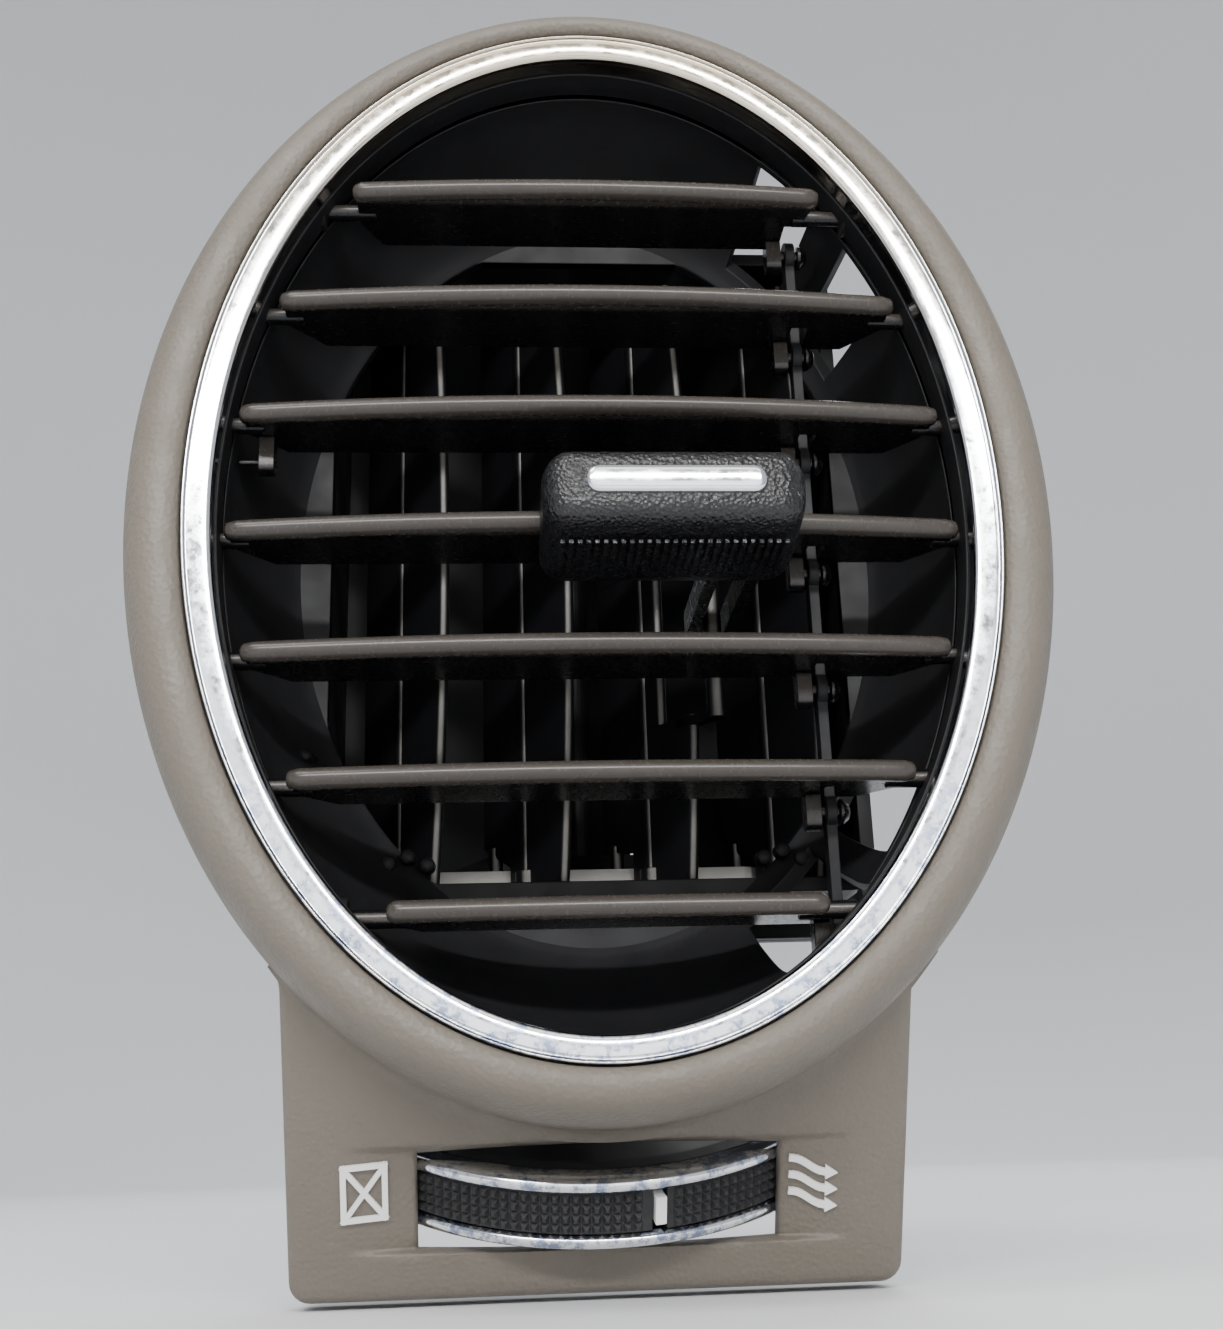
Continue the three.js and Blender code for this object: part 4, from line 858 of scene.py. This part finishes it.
# ---------- vertical vanes ----------
def build_vvane(k):
    low, high = BOX_Z[0] + 0.6, BOX_Z[1] - 0.6
    middle, half = (low + high) / 2, (high - low) / 2
    driver = k == DRIVER_VANE
    shape = Shape()

    def blade(z_low, z_high, cut_front=None):
        loops = []
        for i in range(25):
            z = z_low + (z_high - z_low) * i / 24
            front = 10.0 - 2.1 * ((z - middle) / half) ** 2
            if cut_front is not None:
                front = cut_front
            rear = 9.0 if z > low + 5.6 else 3.2
            nose = [(0.7 * math.cos(t), -front + 0.7 - 0.7 * math.sin(t)) for t in np.linspace(0, math.pi, 9)]
            tail = [(-0.7, 2.0), (-0.45, rear), (0.45, rear), (0.7, 2.0)]
            loops.append([(x, y, z) for x, y in nose + tail])
        shape.loft(loops)

    if driver:
        blade(low, -18.0)
        blade(-18.0, 3.2, 3.4)
        blade(3.2, high)
        shape.bar((0, -DRIVER_R, -19.4), (0, -DRIVER_R, 4.6), 1.1)
        for z in (-19.4, 3.4):
            shape.block((-0.7, 0.7), (-DRIVER_R, -6), (z, z + 1.2))
    else:
        blade(low, high)
    shape.bar((0, 0, low - 1.9), (0, 0, high + 1.9), 1.0)
    shape.bar((0, 0, low), (0, 0, low + 2.4), 1.6)
    shape.bar((0, 7.0, low + 0.9), (0, 7.0, low + 6.4), 0.9)
    shape.turn_and_move(VVANE_YAW, (VVANE_X[k], VVANE_PIVOT_Y, 0))
    name = f"vvane_{k + 1}"
    # The vane's front-facing edges carry a painted highlight.
    shape.make(f"{name}_moulding", LOOKS["pale_tinted"], f"{name}_body", [name], bevel=0.1)


# ---------- knob ----------
def round_corners(corners, steps=6):
    """An outline from (a, b, radius) corners, each rounded by an arc-like curve."""
    points = []
    for i, (a, b, radius) in enumerate(corners):
        here = Vector((a, b))
        before = Vector(corners[i - 1][:2]) - here
        after = Vector(corners[(i + 1) % len(corners)][:2]) - here
        start = here + before.normalized() * min(radius, before.length * 0.49)
        end = here + after.normalized() * min(radius, after.length * 0.49)
        for k in range(steps + 1):
            u = k / steps
            points.append(tuple(start * (1 - u) ** 2 + here * (2 * u * (1 - u)) + end * u * u))
    return points


def knob_section(inset):
    """The knob across its length as (y, z), drawn in from its front, top and underside by `inset`."""
    front = KNOB_Y[0] + 0.04 + inset
    top = KNOB_Z[1] - 0.85 * inset
    low = KNOB_Z[0] + 0.85 * inset
    slot_low, slot_high = HVANE_Z[3] - 1.5, HVANE_Z[3] + 1.5
    return round_corners([
        (front + 0.25, low + 1.5, 2.0), (KNOB_Y[1], low - 0.5, 0.5), (KNOB_Y[1] + 2.1, low - 0.1, 0.3),
        (KNOB_Y[1] + 2.1, low + 1.9, 0.3), (0.4, slot_low - 0.1, 0.2), (-0.85, slot_low, 0.1),
        (-0.85, slot_high, 0.1), (KNOB_Y[1], slot_high, 0.1), (KNOB_Y[1], top, 0.4), (front, top, 2.4)])


def build_knob():
    shape = Shape()
    loops = []
    radius = 3.0
    for side in (-1, 1):
        stops = [90, 75, 60, 45, 30, 15, 0]
        for degrees in (stops if side < 0 else reversed(stops)):
            t = math.radians(degrees)
            x = KNOB_X + side * (KNOB_HALF - radius + radius * math.sin(t))
            loops.append([(x, y, z) for y, z in knob_section(radius * (1 - math.cos(t)))])
    shape.loft(loops)
    for side in (-1, 1):
        x = (FORK_X + 1.55, FORK_X + 2.95) if side > 0 else (FORK_X - 2.95, FORK_X - 1.55)
        shape.prism(rounded_rectangle((-1.0, 24.6), (-8.2, -4.9), 0.8), *x, "x")
    low = KNOB_Z[0]
    rib = [(-7.2, low - 0.1), (1.5, low - 0.45), (1.5, low + 0.2), (-7.2, low + 0.3)]
    for i in range(27):
        x = KNOB_X - 11.7 + 0.9 * i
        shape.prism(rib, x - 0.22, x + 0.22, "x")
    shape.make("knob_moulding", LOOKS["knob"], "knob", ["knob_body"], sharp=40)


def build_knob_insert():
    z = sum(KNOB_Z) / 2 + 0.9
    shape = Shape()
    loops = []
    half_length, half_height = 9.3, 1.5
    crown = [(0.0, 1.0), (0.0, 0.1), (-0.08, -0.12), (-0.3, -0.26), (-0.7, -0.33), (-1.3, -0.35)]
    for grow, y in crown:
        across = (KNOB_X - half_length - grow, KNOB_X + half_length + grow)
        height = (z - half_height - grow, z + half_height + grow)
        outline = rounded_rectangle(across, height, max(0.15, 1.4 + grow), 8)
        loops.append([(x, KNOB_Y[0] + y, zz) for x, zz in outline])
    shape.loft(loops)
    shape.make("knob_insert_bright", LOOKS["chrome"], "knob", ["knob_insert"], sharp=50)


# ---------- thumbwheel ----------
def wheel_ring(shape, profile, start, end, steps):
    """A rim swept round the axle between two turns. Profile rows are (radius, height along the axle)."""
    loops = []
    for i in range(steps + 1):
        turn = start + (end - start) * i / steps
        loops.append([on_wheel(r, v, turn) for r, v in profile])
    shape.loft(loops)


def build_rims():
    rows = [(30.5, 2.42), (32.3, 2.42), (32.85, 2.6), (33.0, 2.95), (32.98, 3.3), (32.8, 3.65),
            (32.4, 3.92), (31.9, 4.05), (30.5, 4.05)]
    for place, side in (("upper", 1), ("lower", -1)):
        name = f"wheel_rim_{place}"
        shape = Shape()
        wheel_ring(shape, [(r, side * v) for r, v in rows], -WHEEL_SECTOR, WHEEL_SECTOR, 180)
        shape.make(f"{name}_bright", LOOKS["chrome"], "thumbwheel", [name], sharp=60)


def build_tread():
    """Black rubber band cut into small pyramids, with a gap for the indicator."""
    rows, pitch = 4, 1.1
    base, tip = WHEEL_R - 0.55, WHEEL_R - 0.02
    shape = Shape()
    band = [(30.5, -2.3), (base, -2.3), (base, 2.3), (30.5, 2.3)]
    gap = 0.85 / WHEEL_R
    wheel_ring(shape, band, -WHEEL_SECTOR, INDICATOR_TURN - gap, 150)
    wheel_ring(shape, band, INDICATOR_TURN + gap, WHEEL_SECTOR, 110)
    count = int(2 * WHEEL_SECTOR * WHEEL_R / pitch)
    step = 2 * WHEEL_SECTOR / count
    height = 4.5 / rows
    for i in range(count):
        turn = -WHEEL_SECTOR + step * (i + 0.5)
        if abs(turn - INDICATOR_TURN) < gap + step * 0.5:
            continue
        for row in range(rows):
            v = -2.25 + height * (row + 0.5)
            corners = [on_wheel(base - 0.05, v + sv * height * 0.47, turn + st * step * 0.47)
                       for st, sv in ((-1, -1), (1, -1), (1, 1), (-1, 1))]
            top = [on_wheel(tip, v + sv * height * 0.16, turn + st * step * 0.16)
                   for st, sv in ((-1, -1), (1, -1), (1, 1), (-1, 1))]
            shape.loft([corners, top])
    shape.make("wheel_tread_rubber", LOOKS["rubber"], "thumbwheel", ["wheel_tread"], sharp=20)


def build_indicator():
    shape = Shape()
    half = 0.62 / WHEEL_R
    rows = [(31.0, -1.55), (WHEEL_R + 0.02, -1.55), (WHEEL_R + 0.02, 1.55), (31.0, 1.55)]
    wheel_ring(shape, rows, INDICATOR_TURN - half, INDICATOR_TURN + half, 4)
    nodes = ["wheel_indicator"]
    shape.make("wheel_indicator_white", LOOKS["white"], "thumbwheel", nodes, bevel=0.12)


# ---------- CAD nodes kept as they are ----------
KEPT = {
    "white": ["symbol_closed", "symbol_open_1", "symbol_open_2", "symbol_open_3"],
    "nylon": ["vvane_link", "link_rod"],
    "black": ["wheel_hub", "wheel_bracket", "damper_flap", "rear_duct", "duct_neck"],
    "foam": ["damper_seal_left", "damper_seal_right", "inlet_foam_seal"],
    "steel": ["wheel_axle", "screw_1", "screw_2", "screw_3", "screw_4", "spring_clip_1", "spring_clip_2"],
}


def dress_kept_nodes():
    for slot, names in KEPT.items():
        for name in names:
            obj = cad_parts[name]
            obj.data.materials.clear()
            obj.data.materials.append(LOOKS[slot])


# ---------- studio ----------
def studio_surface():
    finish = Finish("pale_backdrop", (0.80, 0.81, 0.83), 0.8)
    finish.roughness(finish.remap(finish.noise(0.02, 3.0), 0.3, 0.7, 0.62, 0.78))
    finish.bump(finish.noise(0.8, 3.0), 0.1, 0.1)
    return finish.material


def build_backdrop():
    """A floor that curves up into a wall all round, far from the object."""
    floor_z, flat, radius, height = -0.0835, 1.1, 0.7, 2.6
    rows = [(0.0, floor_z), (0.3, floor_z), (flat, floor_z)]
    for t in np.linspace(0.1, math.pi / 2, 12):
        rows.append((flat + radius * math.sin(t), floor_z + radius * (1 - math.cos(t))))
    rows.append((flat + radius, floor_z + height))
    steps = 64
    verts, faces = [(0.0, 0.0, floor_z)], []
    for r, z in rows[1:]:
        turns = [2 * math.pi * k / steps for k in range(steps)]
        verts += [(r * math.cos(t), r * math.sin(t), z) for t in turns]
    for k in range(steps):
        faces.append((0, 1 + (k + 1) % steps, 1 + k))
    for i in range(len(rows) - 2):
        a, b = 1 + i * steps, 1 + (i + 1) * steps
        for k in range(steps):
            faces.append((a + k, a + (k + 1) % steps, b + (k + 1) % steps, b + k))
    mesh = bpy.data.meshes.new("backdrop")
    mesh.from_pydata(verts, [], faces)
    mesh.flip_normals()
    mesh.shade_smooth()
    mesh.materials.append(studio_surface())
    backdrop = bpy.data.objects.new("backdrop", mesh)
    bpy.context.scene.collection.objects.link(backdrop)


def softbox(name, place, aim, size, power, tint=(1, 1, 1)):
    light = bpy.data.lights.new(name, "AREA")
    light.shape = "RECTANGLE"
    light.size, light.size_y = size
    light.energy = power
    light.color = tint
    obj = bpy.data.objects.new(name, light)
    obj.location = place
    obj.rotation_euler = (Vector(aim) - Vector(place)).to_track_quat("-Z", "Y").to_euler()
    bpy.context.scene.collection.objects.link(obj)


def build_lights():
    world = bpy.data.worlds.new("studio")
    bpy.context.scene.world = world
    world.use_nodes = True
    world.node_tree.nodes["Background"].inputs["Color"].default_value = (0.95, 0.97, 1.0, 1)
    world.node_tree.nodes["Background"].inputs["Strength"].default_value = 0.66
    softbox("front_panel", (0.0, -0.75, 0.10), (0, 0, 0), (0.9, 0.26), 1.5)
    softbox("narrow_strip", (-0.05, -0.66, 0.33), (0, 0, 0), (0.7, 0.05), 7)
    softbox("warm_panel", (0.0, -0.55, 0.56), (0, 0, 0), (0.8, 0.2), 1.2, (1.0, 0.86, 0.68))
    softbox("key_light", (-0.42, -0.5, 0.85), (0, 0, 0), (0.35, 0.3), 3.5)
    softbox("back_light", (0.3, 0.9, 0.9), (0, 0, 0), (0.8, 0.6), 8)


def build_camera():
    data = bpy.data.cameras.new("camera")
    data.sensor_width = 36
    data.lens = 41.79
    data.clip_start = 0.01
    camera = bpy.data.objects.new("camera", data)
    right = Vector((0.99703, -0.07016, -0.0316))
    up = Vector((0.00881, -0.30389, 0.95267))
    back = right.cross(up)
    turn = Matrix((right, up, back)).transposed()
    camera.matrix_world = Matrix.Translation((-0.01163, -0.15441, -0.06848)) @ turn.to_4x4()
    bpy.context.scene.collection.objects.link(camera)
    bpy.context.scene.camera = camera


# ---------- assembly ----------
build_bezel()
build_trim()
build_shroud()
for index in range(7):
    build_hvane(index)
build_hlink()
for index in range(4):
    build_vvane(index)
build_knob()
build_knob_insert()
build_rims()
build_tread()
build_indicator()
dress_kept_nodes()
build_backdrop()
build_lights()
build_camera()
